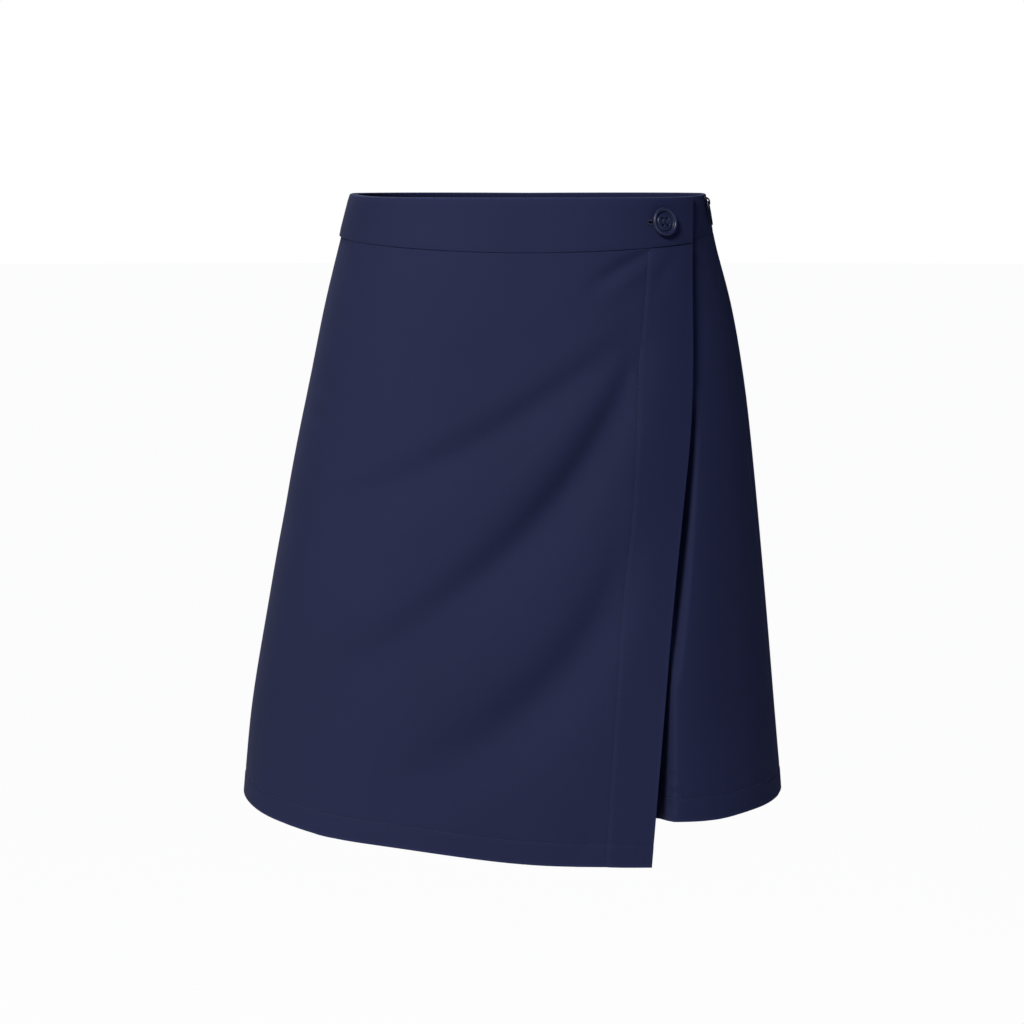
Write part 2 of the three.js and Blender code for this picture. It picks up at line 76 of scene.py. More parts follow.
def hermite(t, start, end, slope, end_slope, span=1):
    """A smooth curve between two values, from t 0 to t 1, that keeps to a slope at each end."""
    return (
        (2 * t**3 - 3 * t**2 + 1) * start
        + (t**3 - 2 * t**2 + t) * slope * span
        + (3 * t**2 - 2 * t**3) * end
        + (t**3 - t**2) * end_slope * span
    )


def spline(rows, column, key="drop"):
    """A smooth curve through one column of a table, straight beyond its ends."""
    xs, ys = rows[key], rows[column]
    slopes = np.empty_like(ys)
    slopes[1:-1] = (ys[2:] - ys[:-2]) / (xs[2:] - xs[:-2])
    slopes[0] = (ys[1] - ys[0]) / (xs[1] - xs[0])
    slopes[-1] = (ys[-1] - ys[-2]) / (xs[-1] - xs[-2])

    def at(x):
        x = np.asarray(x, float)
        i = np.clip(np.searchsorted(xs, x, side="right") - 1, 0, len(xs) - 2)
        span = xs[i + 1] - xs[i]
        t = np.clip((x - xs[i]) / span, 0, 1)
        curve = hermite(t, ys[i], ys[i + 1], slopes[i], slopes[i + 1], span)
        before, after = np.minimum(x - xs[0], 0), np.maximum(x - xs[-1], 0)
        return curve + slopes[0] * before + slopes[-1] * after

    return at


# The shorts' outer face: half-widths to the wearer's right and left, half-depths to the front and back.
BODY = table(
    "drop right left front back",
    (0, 111, 113.5, 80, 85),
    (25, 117.5, 118.5, 84, 90),
    (70, 128.5, 130, 92, 102),
    (120, 138.5, 138.5, 99, 114),
    (175, 149.5, 144.8, 105, 121),
    (245, 162, 152, 110, 122),
    (320, 173.5, 158.2, 114, 120),
    (381, 179, 163.3, 117, 119),
    (414, 181, 165, 118, 119),
)

# The wrap panel: its section's squareness, its lift at the side seam, the middle and the free edge, and how far
# the facing's stitching and the free edge are from the centre.
WRAP = table(
    "drop squareness side middle edge stitch_x edge_x",
    (0, 2.25, 1.5, 2.9, 3.1, 78, 103.7),
    (45, 2.3, 1.5, 3.3, 3.6, 74, 102.6),
    (100, 2.35, 1.5, 6, 4.3, 69.5, 102.6),
    (145, 2.4, 1.5, 7.9, 4.7, 67.5, 100.9),
    (195, 2.45, 1.5, 9.1, 5.2, 64.5, 95.8),
    (260, 2.55, 1.5, 9.8, 6, 58.5, 89.2),
    (320, 2.62, 2.2, 10, 7, 54, 84),
    (414, 2.7, 3.4, 10, 9.5, 47.8, 76),
)

# How much lower the wrap's hem hangs than the shorts' at the side, from its side seam (0) to its free edge (1).
WRAP_HEM = table(
    "across extra",
    (0, -1),
    (0.16, 0.7),
    (0.3, 8.2),
    (0.4, 15.3),
    (0.5, 20),
    (0.67, 29),
    (0.8, 31.2),
    (1, 32.2),
)

# How far the waistband's top edge rises above its height at the centre front, by degrees from there. The dip at 90
# degrees rounds the band's two upper corners, seen from the front.
WAIST_RISE = table(
    "turn rise",
    (0, 0),
    (50, 0.1),
    (70, 0.9),
    (84, 1.7),
    (90, 0.9),
    (96, 1.7),
    (110, 1.7),
    (180, 1),
)

# How much lower the shorts' hems hang than at the side seams, by degrees from the centre front.
LEG_HEM = table(
    "turn extra",
    (0, 3.5),
    (12, 4.2),
    (27, 5.4),
    (35, 5.3),
    (45, 3.8),
    (56, 2.6),
    (72, 0.8),
    (90, 0),
    (180, 0),
)

# Folds are soft troughs (depth above 0) or ridges along a curve. Each has its start, a point that bends it and its
# end, as distances from the centre and drops; its width on the right and the left hand of the way from start to end,
# seen with distances growing to the right, where it starts and where it ends; and its depth. So the right hand is
# above a fold that runs towards smaller distances, below one that runs towards larger ones, and at the side of the
# smaller distances of one that runs down. On the wrap, a distance is above 0 to the wearer's left.
FOLD_COLUMNS = "from_x from_drop via_x via_drop to_x to_drop right left end_right end_left depth"
WRAP_FOLDS = table(
    FOLD_COLUMNS,
    (68, 98, 22, 222, -122, 296, 8, 11, 17, 25, 7.7),
    (62, 86, -36, 166, -143, 200, 8, 11, 14, 18, 4.6),
    (59, 226, 24, 322, -72, 356, 12, 17, 20, 24, 7.2),
    (34, 124, 4, 176, -44, 200, 8, 13, 11, 14, -1.2),
    (6, 214, -40, 262, -112, 268, 12, 12, 16, 12, -1.1),
    (48, 62, 0, 96, -66, 112, 9, 11, 14, 14, 0.5),
    (-133, 112, -124, 122, -106, 142, 5, 7, 7, 9, 1.5),
    (-138, 131, -128, 142, -114, 152, 5, 6, 7, 8, 1.1),
    (-131, 122, -120, 128, -108, 136, 3, 4, 4, 5, -0.4),
    (76, 34, 62, 39, 40, 53, 2.5, 4, 4, 7, 2.4),
    (72, 43, 60, 49, 42, 63, 3, 5, 5, 8, -1.3),
    (93, 34, 88, 40, 80, 56, 2.5, 4, 4, 6, 1.4),
    (66, 104, 67, 116, 65, 130, 3, 5, 4, 5, -0.8),
    (26, 408, 34, 398, 45, 386, 5, 5, 7, 7, 0.7),
    (-122, 292, -134, 340, -143, 396, 14, 18, 20, 20, 1.3),
    (-60, 352, -84, 366, -104, 398, 12, 14, 18, 18, 0.8),
    (-8, 352, 4, 372, 8, 402, 14, 14, 18, 18, -0.6),
)
FRONT_FOLDS = {
    1: table(
        FOLD_COLUMNS,
        (110, 108, 88, 290, 92, 460, 22, 38, 24, 46, -6),
        (100, 128, 96, 205, 87, 296, 8, 3, 8, 2.6, 11),
        (83, 268, 84.5, 360, 81, 462, 9, 2.6, 10, 3, 19),
        (118, 196, 126, 268, 128, 352, 15, 15, 20, 20, 1.2),
        (96, 62, 108, 120, 116, 170, 9, 9, 14, 14, 0.7),
        (10, 236, 34, 226, 62, 232, 8, 10, 12, 12, 1.3),
    ),
    -1: table(
        FOLD_COLUMNS,
        (12, 232, 44, 224, 84, 238, 8, 10, 13, 13, 1.4),
        (52, 268, 60, 322, 56, 378, 13, 13, 18, 18, 1.6),
        (120, 250, 128, 300, 130, 366, 15, 15, 18, 18, 1),
    ),
}
BACK_FOLDS = {
    1: table(
        FOLD_COLUMNS,
        (10, 214, 52, 238, 116, 214, 7, 11, 13, 20, 3.8),
        (14, 246, 62, 262, 104, 254, 6, 10, 14, 18, 2.2),
        (40, 268, 62, 318, 58, 376, 13, 13, 18, 18, 3.8),
        (112, 214, 120, 284, 112, 366, 14, 14, 22, 22, 3.2),
        (96, 52, 112, 96, 106, 150, 9, 9, 16, 16, 1.8),
        (20, 34, 34, 50, 66, 54, 4, 6, 9, 10, 1.2),
        (14, 120, 40, 160, 86, 172, 12, 14, 20, 20, 1.4),
    ),
    -1: table(
        FOLD_COLUMNS,
        (10, 210, 46, 234, 98, 226, 7, 12, 12, 18, 3.4),
        (14, 242, 54, 268, 122, 250, 6, 9, 14, 20, 2.6),
        (58, 274, 72, 330, 80, 378, 13, 13, 20, 20, 3.4),
        (130, 236, 138, 300, 134, 366, 14, 14, 20, 20, 2.4),
        (104, 64, 118, 104, 124, 168, 9, 10, 18, 16, 2),
        (30, 36, 52, 46, 88, 48, 4, 6, 8, 10, 1),
        (20, 150, 62, 170, 112, 160, 12, 14, 18, 18, 1.2),
    ),
}

# ---------------------------------------------------------------- settings in the sidebar


def length(name, description, millimetres):
    return bpy.props.FloatProperty(
        name=name, description=description, default=millimetres * MM, unit="LENGTH", precision=4, min=0
    )


def colour(name, description, linear):
    return bpy.props.FloatVectorProperty(
        name=name, description=description, default=linear, subtype="COLOR", size=3, min=0, max=1
    )


class CulottesSizes(bpy.types.PropertyGroup):
    """The sizes that a maker would change."""

    cloth: length("Cloth", "Thickness of one layer of the twill", 0.9)
    band: length("Waistband", "Thickness of the folded and stiffened waistband", 2)
    hem_depth: length("Hem depth", "Height of the turned hems", 14)
    crotch_drop: length("Crotch drop", "From the waistband's top edge to the fork of the legs", 250)
    leg_hem_drop: length("Leg length", "From the waistband's top edge to the legs' hems at the side", 379.5)
    stitch: length("Stitch", "Length of one topstitch", 2.3)
    stitch_gap: length("Stitch gap", "Cloth between two topstitches", 0.6)
    thread: length("Thread", "Width of the sewing thread", 0.34)
    twill_pitch: length("Twill pitch", "Distance between two ribs of the twill", 0.62)
    button_radius: length("Button radius", "Half the button's width", 9)
    folds: bpy.props.FloatProperty(
        name="Folds", description="Depth of the drag folds, as a share of the pattern's", default=1, min=0, max=2
    )


class CulottesColours(bpy.types.PropertyGroup):
    """The colours of the cloth and the trimmings, as linear light."""

    cloth: colour("Cloth", "The twill", (0.0172, 0.023, 0.074))
    thread: colour("Thread", "Topstitching and button thread", (0.013, 0.017, 0.05))
    button: colour("Button", "The button's resin", (0.021, 0.027, 0.074))
    tape: colour("Zip tape", "The zip's woven tape", (0.012, 0.015, 0.032))
    metal: colour("Zip metal", "The lacquered slider and pull", (0.011, 0.012, 0.02))


def sizes():
    return bpy.context.scene.culottes_sizes


def colours():
    return bpy.context.scene.culottes_colours


# ---------------------------------------------------------------- small mathematics


def mix(a, b, t):
    return a + (b - a) * t


def two_stage(start, middle, end, t):
    """A mix that is at its start, middle and end when t is 0, 1 and 2."""
    return np.where(t <= 1, mix(start, middle, t), mix(middle, end, t - 1))


def smooth(t):
    t = np.clip(t, 0, 1)
    return t * t * (3 - 2 * t)


def unit(vectors):
    return vectors / np.maximum(np.linalg.norm(vectors, axis=-1, keepdims=True), 1e-12)


def rounded(angle, squareness):
    """Across and along shares of a rounded section at an angle from the centre front."""
    s, c = np.sin(angle), np.cos(angle)
    reach = (np.abs(s) ** squareness + np.abs(c) ** squareness) ** (-1 / squareness)
    return s * reach, c * reach


FOLD_POINTS = 120  # points on a fold's curve
SWELL_SPAN, SWELL_POWER = (0.05, 0.96), 0.7  # the part of a half wave that a fold's depth follows along it


def fold_depth(folds, x, drop):
    """How far a set of folds pushes each place on the cloth towards the wearer."""
    total = np.zeros(np.broadcast(x, drop).shape)
    t = np.linspace(0, 1, FOLD_POINTS)
    ends = np.stack([(1 - t) ** 2, 2 * t * (1 - t), t**2], 1)
    for row in zip(*folds.values()):
        fold = dict(zip(folds, row))
        line_x = ends @ [fold["from_x"], fold["via_x"], fold["to_x"]]
        line_drop = ends @ [fold["from_drop"], fold["via_drop"], fold["to_drop"]]
        away_x, away_drop = x[..., None] - line_x, drop[..., None] - line_drop
        near = np.hypot(away_x, away_drop).argmin(-1)
        across, down = (np.take_along_axis(away, near[..., None], -1)[..., 0] for away in (away_x, away_drop))
        along = t[near]
        way = unit(np.stack([np.gradient(line_x), np.gradient(line_drop)], -1))[near]
        beside = way[..., 1] * across - way[..., 0] * down  # above 0 on the left hand
        right = mix(fold["right"], fold["end_right"], along)
        left = mix(fold["left"], fold["end_left"], along)
        width = mix(right, left, smooth(0.5 + beside / (right + left)))
        swell = np.sin(np.pi * mix(*SWELL_SPAN, along)) ** SWELL_POWER
        total += fold["depth"] * np.exp(-((np.hypot(across, down) / width) ** 2)) * swell
    return total * sizes().folds


# Waves in hanging cloth: the size of each, its lengths across and down in a radian of the wave, and how much of its
# piece's own shift it takes. The ripples along a line of stitching have one length.
WAVES = (1, 23, 61, 1), (1, 37, -29, 2.1), (0.6, 13, 43, 3.3), (0.5, -51, 17, 1)
WAVE_HEIGHT = 0.11
RIPPLES = (1, 1.9, 1), (0.7, 3.1, 2), (0.5, 5.3, 0)
RIPPLE_HEIGHT, RIPPLE_REACH = 0.08, 5.0
GROOVE_DEPTH, GROOVE_WIDTH = 0.2, 1.1
RISE_WIDTH = 1.5  # the face is up on a turned layer this far beyond its stitching


def unevenness(x, drop, turn):
    """The slight waviness of hanging cloth, under half a millimetre."""
    waves = sum(size * np.sin(x / across + drop / down + shift * turn) for size, across, down, shift in WAVES)
    return WAVE_HEIGHT * waves


def pucker(away, along, turn):
    """A line of stitching draws the cloth in and ripples it. away is from the line and along is on it."""
    groove = GROOVE_DEPTH * np.exp(-((away / GROOVE_WIDTH) ** 2))
    ripple = sum(size * np.sin(along / length_of + shift * turn) for size, length_of, shift in RIPPLES)
    return groove + RIPPLE_HEIGHT * ripple * np.exp(-((away / RIPPLE_REACH) ** 2))


def turned_under(beyond, along, turn, rise):
    """Stitching puckers the cloth, and the layer turned under beyond it lifts the face a little."""
    return pucker(np.abs(beyond), along, turn) - rise * smooth(beyond / RISE_WIDTH)


# ---------------------------------------------------------------- the faces of the cloth

SQUARE = 2.25  # how square the shorts' section is
INSEAM_SQUARE = 4
CENTRE = {-1: 0, 1: math.pi}  # the angle of the centre front and the centre back
LEFT_SEAM = 1.32  # the left side seam comes forward of the widest place
SIDE_ARC, ZIP_ARC, TAPE_ARC = 114, 95, 100  # about how many millimetres of cloth are in a radian: sides, zip, tapes
LEG_CENTRE, LEG_GAP = 52, 8  # fullest front of a leg, and half the opening between the legs, at the hem
FORK = 0.5  # share of the centre seam's length above the fork
BAND_LIFT = 2.9  # the wrap's waistband
MEETING = 0.5  # the back comes out to the wrap over this angle from the right side seam
FACING_SHARE = 0.2  # of the way across the wrap
SIDE_PART, EDGE_PART = 0.35, 0.4  # shares of that way over which the lift leaves the side's and reaches the edge's
CLOSE = -0.01  # half the gap between two sewn edges, which just overlap so that no light comes through
WAIST_SEAM, WAIST_SEAM_FRONT, WAIST_SEAM_BACK = 23, 8, 3  # at the sides, and how much lower at each centre
WRAP_SEAM, WRAP_SEAM_FRONT = 25, 9
SEAM_POWER = 1.5  # how the seams' curves turn up towards the sides
WRAP_START = -RIGHT_ANGLE + CLOSE / SIDE_ARC  # the angle of the wrap's sewn edge, at the right side seam

body = {name: spline(BODY, name) for name in BODY if name != "drop"}
wrap = {name: spline(WRAP, name) for name in WRAP if name != "drop"}
wrap_hem_extra = spline(WRAP_HEM, "extra", "across")
leg_hem_extra = spline(LEG_HEM, "extra", "turn")
waist_rise = spline(WAIST_RISE, "rise", "turn")


def place(x, y, drop):
    return np.stack(np.broadcast_arrays(x, y, WAIST_TOP - drop), -1).astype(float)


def around(angle, drop, lift=0.0, squareness=SQUARE):
    across, along = rounded(angle, squareness)
    half_width = np.where(across > 0, body["left"](drop), body["right"](drop)) + lift
    half_depth = np.where(along > 0, body["front"](drop), body["back"](drop)) + lift
    return place(half_width * across, -half_depth * along, drop)


def angle_at(x, drop, lift, squareness):
    """The angle at which the front of a section reaches x to the wearer's left."""
    across = np.clip(x / (body["left"](drop) + lift), 0, 0.9999)
    return np.arctan2(across, (1 - across**squareness) ** (1 / squareness))


def degrees_from_front(angle):
    return np.degrees(np.arccos(np.cos(angle)))


def waist_top(angle):
    return -waist_rise(degrees_from_front(angle))


def waist_seam(angle):
    lower = np.where(np.cos(angle) > 0, WAIST_SEAM_FRONT, WAIST_SEAM_BACK)
    return WAIST_SEAM + lower * np.abs(np.cos(angle)) ** SEAM_POWER


def wrap_seam(angle):
    return WRAP_SEAM + WRAP_SEAM_FRONT * np.abs(np.cos(angle)) ** SEAM_POWER


def leg_hem(angle):
    return sizes().leg_hem_drop / MM + leg_hem_extra(degrees_from_front(angle))


def back_lift(angle, lift):
    """At the right side seam the back comes out to meet the wrap's outer face."""
    return lift * smooth(1 - (angle - RIGHT_ANGLE) / MEETING)


def hem_depth():
    return sizes().hem_depth / MM


def hung(top, hem, v):
    """Drops from a seam at the top (v 0) to the hem's stitching (v 1) and the hem's edge (v 2)."""
    return two_stage(top, hem - hem_depth(), hem, v)


def leg_outside(side, face, u, v):
    """The outer face of one quarter of the shorts. u runs from the side seam (0) to the centre (1), and v from
    the waist seam (0) to the hem's stitching (1) and the hem's edge (2)."""
    side_angle = (LEFT_SEAM if side > 0 else RIGHT_ANGLE) + face * CLOSE / SIDE_ARC
    angle = mix(side_angle, CENTRE[face], u)
    drop = hung(waist_seam(angle) + CLOSE, leg_hem(angle), v)
    across, along = rounded(angle, SQUARE)
    centre = CLOSE + LEG_CENTRE * fork_share(CENTRE[face], drop)
    lift = back_lift(angle, wrap["side"](drop)) if side < 0 and face > 0 else 0
    x = centre + (body["left" if side > 0 else "right"](drop) + lift - centre) * across
    y = -along * np.where(along > 0, body["front"](drop), body["back"](drop))
    return side * x, y, drop


def fork_start(centre_angle):
    top = waist_seam(centre_angle) + CLOSE
    return mix(top, leg_hem(centre_angle) - hem_depth(), FORK)


def fork_share(centre_angle, drop):
    start = fork_start(centre_angle)
    return np.clip((drop - start) / (leg_hem(centre_angle) - start), 0, 1)


def leg_inside(side, face, u, v):
    """The same cloth round the leg's inside, from the centre (u 1) to the inseam (u 2)."""
    centre_angle = CENTRE[face]
    hem = leg_hem(centre_angle)
    share = fork_share(centre_angle, hung(waist_seam(centre_angle) + CLOSE, hem, v))
    across, along = rounded(RIGHT_ANGLE * (u - 1), INSEAM_SQUARE)
    fork = mix(fork_start(centre_angle), sizes().crotch_drop / MM, 1 - along**2)
    drop = mix(fork, mix(sizes().leg_hem_drop / MM, hem, along), share)
    x = CLOSE + mix(LEG_CENTRE, LEG_GAP, across) * share
    y = face * mix(CLOSE, body["front" if face < 0 else "back"](drop), along)
    return side * x, y, drop


def wrap_section(u, across, drop):
    squareness = wrap["squareness"](drop)
    side, middle, edge = (wrap[name](drop) for name in ("side", "middle", "edge"))
    near_edge = smooth((across - 1 + EDGE_PART) / EDGE_PART)
    lift = mix(side, middle, smooth(across / SIDE_PART)) + (edge - middle) * near_edge
    stitched, free = (angle_at(wrap[name](drop), drop, lift, squareness) for name in ("stitch_x", "edge_x"))
    return two_stage(WRAP_START, stitched, free, u), lift, squareness


def wrap_face(u, v):
    """The wrap's outer face before its folds. u runs from the right side seam (0) to the facing's stitching (1)
    and the free edge (2); v from the waist seam (0) to the hem's stitching (1) and the hem's edge (2)."""
    across = two_stage(0, 1 - FACING_SHARE, 1, u)
    top = wrap_seam(wrap_section(u, across, wrap_seam(0))[0]) + CLOSE
    drop = hung(top, sizes().leg_hem_drop / MM + wrap_hem_extra(across), v)
    angle, lift, squareness = wrap_section(u, across, drop)
    return around(angle, drop, lift, squareness), angle, drop


# ---------------------------------------------------------------- sheets and shells

# Finer places beside an edge, and on both sides of a line of stitching.
EDGE_FINE = np.array([0, 0.1, 0.28, 0.55, 0.9, 1.5])
LINE_FINE = np.array([-3, -1.6, -0.8, 0, 0.8, 1.6, 3])


def marks(total, step, lines=()):
    """Places along a length: even steps, with finer ones at both ends and at lines of stitching."""
    fine = [EDGE_FINE, total - EDGE_FINE, *(line + LINE_FINE for line in lines)]
    fine = np.unique(np.concatenate([f[(f >= 0) & (f <= total)] for f in fine]).round(4))
    even = np.linspace(0, total, max(2, round(total / step)) + 1)
    even = [e for e in even if np.abs(fine - e).min() > 0.4 * step]
    return np.unique(np.concatenate([fine, even]))


def nearest(values, wanted):
    return int(np.abs(values - wanted).argmin())


def two_part(first, second, step):
    """A parameter that is 0 to 1 over the first length and 1 to 2 over the second."""
    along = marks(first + second, step, [first])
    return np.where(along <= first, along / first, 1 + (along - first) / second)


def travelled(points, axis):
    """Distance along the rows or the columns of a grid of points."""
    steps = np.linalg.norm(np.diff(points, axis=axis), axis=-1)
    start = np.zeros_like(np.take(steps, [0], axis))
    return np.concatenate([start, np.cumsum(steps, axis)], axis)


def grid_normals(points, turn):
    return turn * unit(np.cross(np.gradient(points, axis=1), np.gradient(points, axis=0)))


def round_off(distance, radius):
    """How far a face draws back beside a rounded edge."""
    inside = np.clip(distance, 0, radius)
    return radius - np.sqrt(np.maximum(radius**2 - (radius - inside) ** 2, 0))


def new_object(name, mesh):
    made = bpy.data.objects.new(name, mesh)
    bpy.context.collection.objects.link(made)
    return made


class Sheet:
    """A grid of points on the cloth's outer face, with its normals and its lengths across and down."""

    def __init__(self, points, turn, normals=None, exists=None):
        self.points = points
        self.turn = turn
        self.normals = grid_normals(points, turn) if normals is None else normals
        self.exists = np.ones(points.shape[:2], bool) if exists is None else exists
        self.across = travelled(points, 1)
        self.down = travelled(points, 0)

    def __getitem__(self, pick):
        """The sheet that some of the rows and columns make."""
        return Sheet(self.points[pick], self.turn, self.normals[pick], self.exists[pick])

    def pushed(self, depth, normals=None):
        """The same sheet with each point pushed towards the wearer."""
        return Sheet(self.points - self.normals * depth[..., None], self.turn, normals, self.exists)

    def cells(self):
        """Which squares of the grid have all four corners."""
        used = self.exists
        return used[:-1, :-1] & used[1:, :-1] & used[:-1, 1:] & used[1:, 1:]

    def edges(self, names="left right top bottom"):
        """Distance to the nearest of the named edges of the grid."""
        each = {
            "left": self.across,
            "right": self.across[:, -1:] - self.across,
            "top": self.down,
            "bottom": self.down[-1:] - self.down,
        }
        return np.min([each[name] for name in names.split()], axis=0)

    def eased(self, radius, names="left right top bottom"):
        """How far the face draws back where the named edges are rounded."""
        return round_off(self.edges(names), radius)


WEAR_AND_HIGHLIGHT_REACH = 1.3  # the cloth is a little worn this far from a pressed edge, and a highlight is painted there too
FAR = 99.0  # beyond the reach of any edge


def shell(name, sheet, outer, inner, slot="cloth", worn_lit_edge_distance=FAR):
    """A closed wall between two depths under a sheet, as a finished piece, with its cloth lengths as a UV map and
    how near each place is to a pressed edge as an attribute, which the cloth's colour follows for wear and for a
    painted highlight. The last argument is the distance from such an edge."""
    used, total = sheet.exists, int(sheet.exists.sum())
    number = np.cumsum(used.ravel()).reshape(used.shape) - 1
    walls = [(sheet.points - sheet.normals * np.broadcast_to(d, used.shape)[..., None])[used] for d in (outer, inner)]
    corners = number[:-1, :-1], number[:-1, 1:], number[1:, 1:], number[1:, :-1]
    quads = np.stack([corner[sheet.cells()] for corner in corners], 1)
    edges = np.concatenate([quads[:, [k, (k + 1) % 4]] for k in range(4)])
    keys = set(map(tuple, edges))
    rim = np.array([edge for edge in edges if (edge[1], edge[0]) not in keys])
    sides = np.stack([rim[:, 1], rim[:, 0], rim[:, 0] + total, rim[:, 1] + total], 1)
    faces = np.concatenate([quads, quads[:, ::-1] + total, sides])[:, :: sheet.turn]
    mesh = bpy.data.meshes.new(name)
    mesh.from_pydata((np.concatenate(walls) * MM).tolist(), [], faces.tolist())
    lengths = np.stack([sheet.across, -sheet.down], -1)[used] * MM
    loops = np.empty(len(mesh.loops), int)
    mesh.loops.foreach_get("vertex_index", loops)
    mesh.uv_layers.new(name="cloth").data.foreach_set("uv", np.concatenate([lengths, lengths])[loops].ravel())
    # pressed edges are painted lighter: partly real wear, partly a painted highlight where a folded edge catches the
    # light
    wear_and_highlight = np.exp(-((np.broadcast_to(worn_lit_edge_distance, used.shape)[used] / WEAR_AND_HIGHLIGHT_REACH) ** 2))
    mesh.attributes.new("wear_and_highlight", "FLOAT", "POINT").data.foreach_set("value", np.concatenate([wear_and_highlight, wear_and_highlight]))
    face_out(mesh)
    return finish_piece(new_object(name, mesh), slot)


def face_out(mesh, crease=50):
    """Turns a closed mesh the right way out and smooths it, with edges sharper than the crease's angle kept."""
    work = bmesh.new()
    work.from_mesh(mesh)
    if work.calc_volume(signed=True) < 0:
        bmesh.ops.reverse_faces(work, faces=work.faces)
    work.to_mesh(mesh)
    work.free()
    mesh.shade_smooth()
    mesh.set_sharp_from_angle(angle=math.radians(crease))


def finish_piece(made, slot, rides_on=GARMENT):
    """Gives a finished piece its material and body."""
    made.data.materials.clear()
    made.data.materials.append(finish_of(slot))
    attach(made, rides_on)
    return made


def plain_mesh(made):
    """The object's mesh as its modifiers leave it."""
    graph = bpy.context.evaluated_depsgraph_get()
    return bpy.data.meshes.new_from_object(made.evaluated_get(graph))


def apply_modifier(made, modifier):
    plain = plain_mesh(made)
    made.modifiers.remove(modifier)
    made.data = plain


def sew(node, sheet):
    """Hides the solid that a cloth piece stands for, and works out the size of its cut."""
    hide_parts(node)
    flat, area = cut_of(sheet)


def cut_of(sheet):
    """Widest width and longest length, and area of a sheet, in metres."""
    flat = []
    for run, axis in ((sheet.across, 1), (sheet.down, 0)):
        longest = np.where(sheet.exists, run, 0).max(axis) - np.where(sheet.exists, run, 1e9).min(axis)
        flat.append(round(float(longest.max()) * MM, 4))
    p = sheet.points
    cross = np.cross(p[1:, 1:] - p[:-1, :-1], p[1:, :-1] - p[:-1, 1:])
    area = np.linalg.norm(cross, axis=-1)[sheet.cells()].sum() / 2
    return tuple(flat), float(area) * MM * MM


# ---------------------------------------------------------------- materials


class Nodes:
    """A short way to build a node tree. An input named _0 is the first socket, and so on."""

    def __init__(self, tree):
        self.tree = tree

    def new(self, kind, settings=(), **inputs):
        node = self.tree.nodes.new(kind)
        for key, value in dict(settings).items():
            setattr(node, key, value)
        self.put(node, **inputs)
        return node

    def out(self, kind, settings=(), **inputs):
        """The first output of a new node."""
        return self.new(kind, settings, **inputs).outputs[0]

    def put(self, node, **inputs):
        for key, value in inputs.items():
            socket = node.inputs[int(key[1:]) if key[1:].isdigit() else key.replace("_", " ")]
            if isinstance(value, bpy.types.NodeSocket):
                self.tree.links.new(value, socket)
            else:
                socket.default_value = value

    def math(self, operation, first, second=0.0):
        return self.out("ShaderNodeMath", {"operation": operation}, _0=first, _1=second)

    def blend(self, factor, first, second):
        return self.new("ShaderNodeMix", {"data_type": "RGBA"}, Factor=factor, _6=first, _7=second).outputs[2]


class Finish(Nodes):
    """The nodes of one new material."""

    def __init__(self, name):
        self.material = bpy.data.materials.new(name)
        self.material.use_nodes = True
        super().__init__(self.material.node_tree)
        self.shader = self.tree.nodes["Principled BSDF"]

    def paint(self, **inputs):
        """Sets the shader's own sockets, or links them."""
        self.put(self.shader, **inputs)

    def noise(self, vector, scale, detail):
        return self.out("ShaderNodeTexNoise", Vector=vector, Scale=scale, Detail=detail)

    def spread(self, value, low, high):
        return self.out("ShaderNodeMapRange", Value=value, To_Min=low, To_Max=high)

    def spot(self):
        return self.new("ShaderNodeTexCoord").outputs["Object"]

    def relief(self, strength, distance, height):
        self.paint(Normal=self.out("ShaderNodeBump", Strength=strength, Distance=distance, Height=height))


def rgba(linear, scale=1.0):
    return (*[min(1, c * scale) for c in linear], 1)


RIB_SLANT = 0.62  # ribs down the cloth for each rib across it
YARN_SLANT, YARN_COUNT = 0.3, 2.1  # the single yarns lie the other way, this many to a rib
RIB_HEIGHT, YARN_HEIGHT, FIBRE_HEIGHT = 0.34, 0.12, 0.5
FIBRE, CLOUD = (2600, 2), (7, 3)  # scale and detail of the fibres' noise and of the cloth's slow unevenness
HEIGHT_SHADE, CLOUD_SHADE, SHADE_SPAN = 0.16, 0.5, (0.05, 0.6)
DARK, LIGHT = 0.86, 1.14  # shades of the cloth's colour
WEAR_AND_HIGHLIGHT_SHARE, WEAR_AND_HIGHLIGHT_SHADE = 0.6, 1.7  # how far a pressed edge goes towards this lighter shade, which is partly wear and partly a painted highlight
ROUGHNESS_SPREAD = 0.06
SHEEN_TINT = (0.62, 0.66, 0.78, 1)
CLOTH_RELIEF = 0.00012


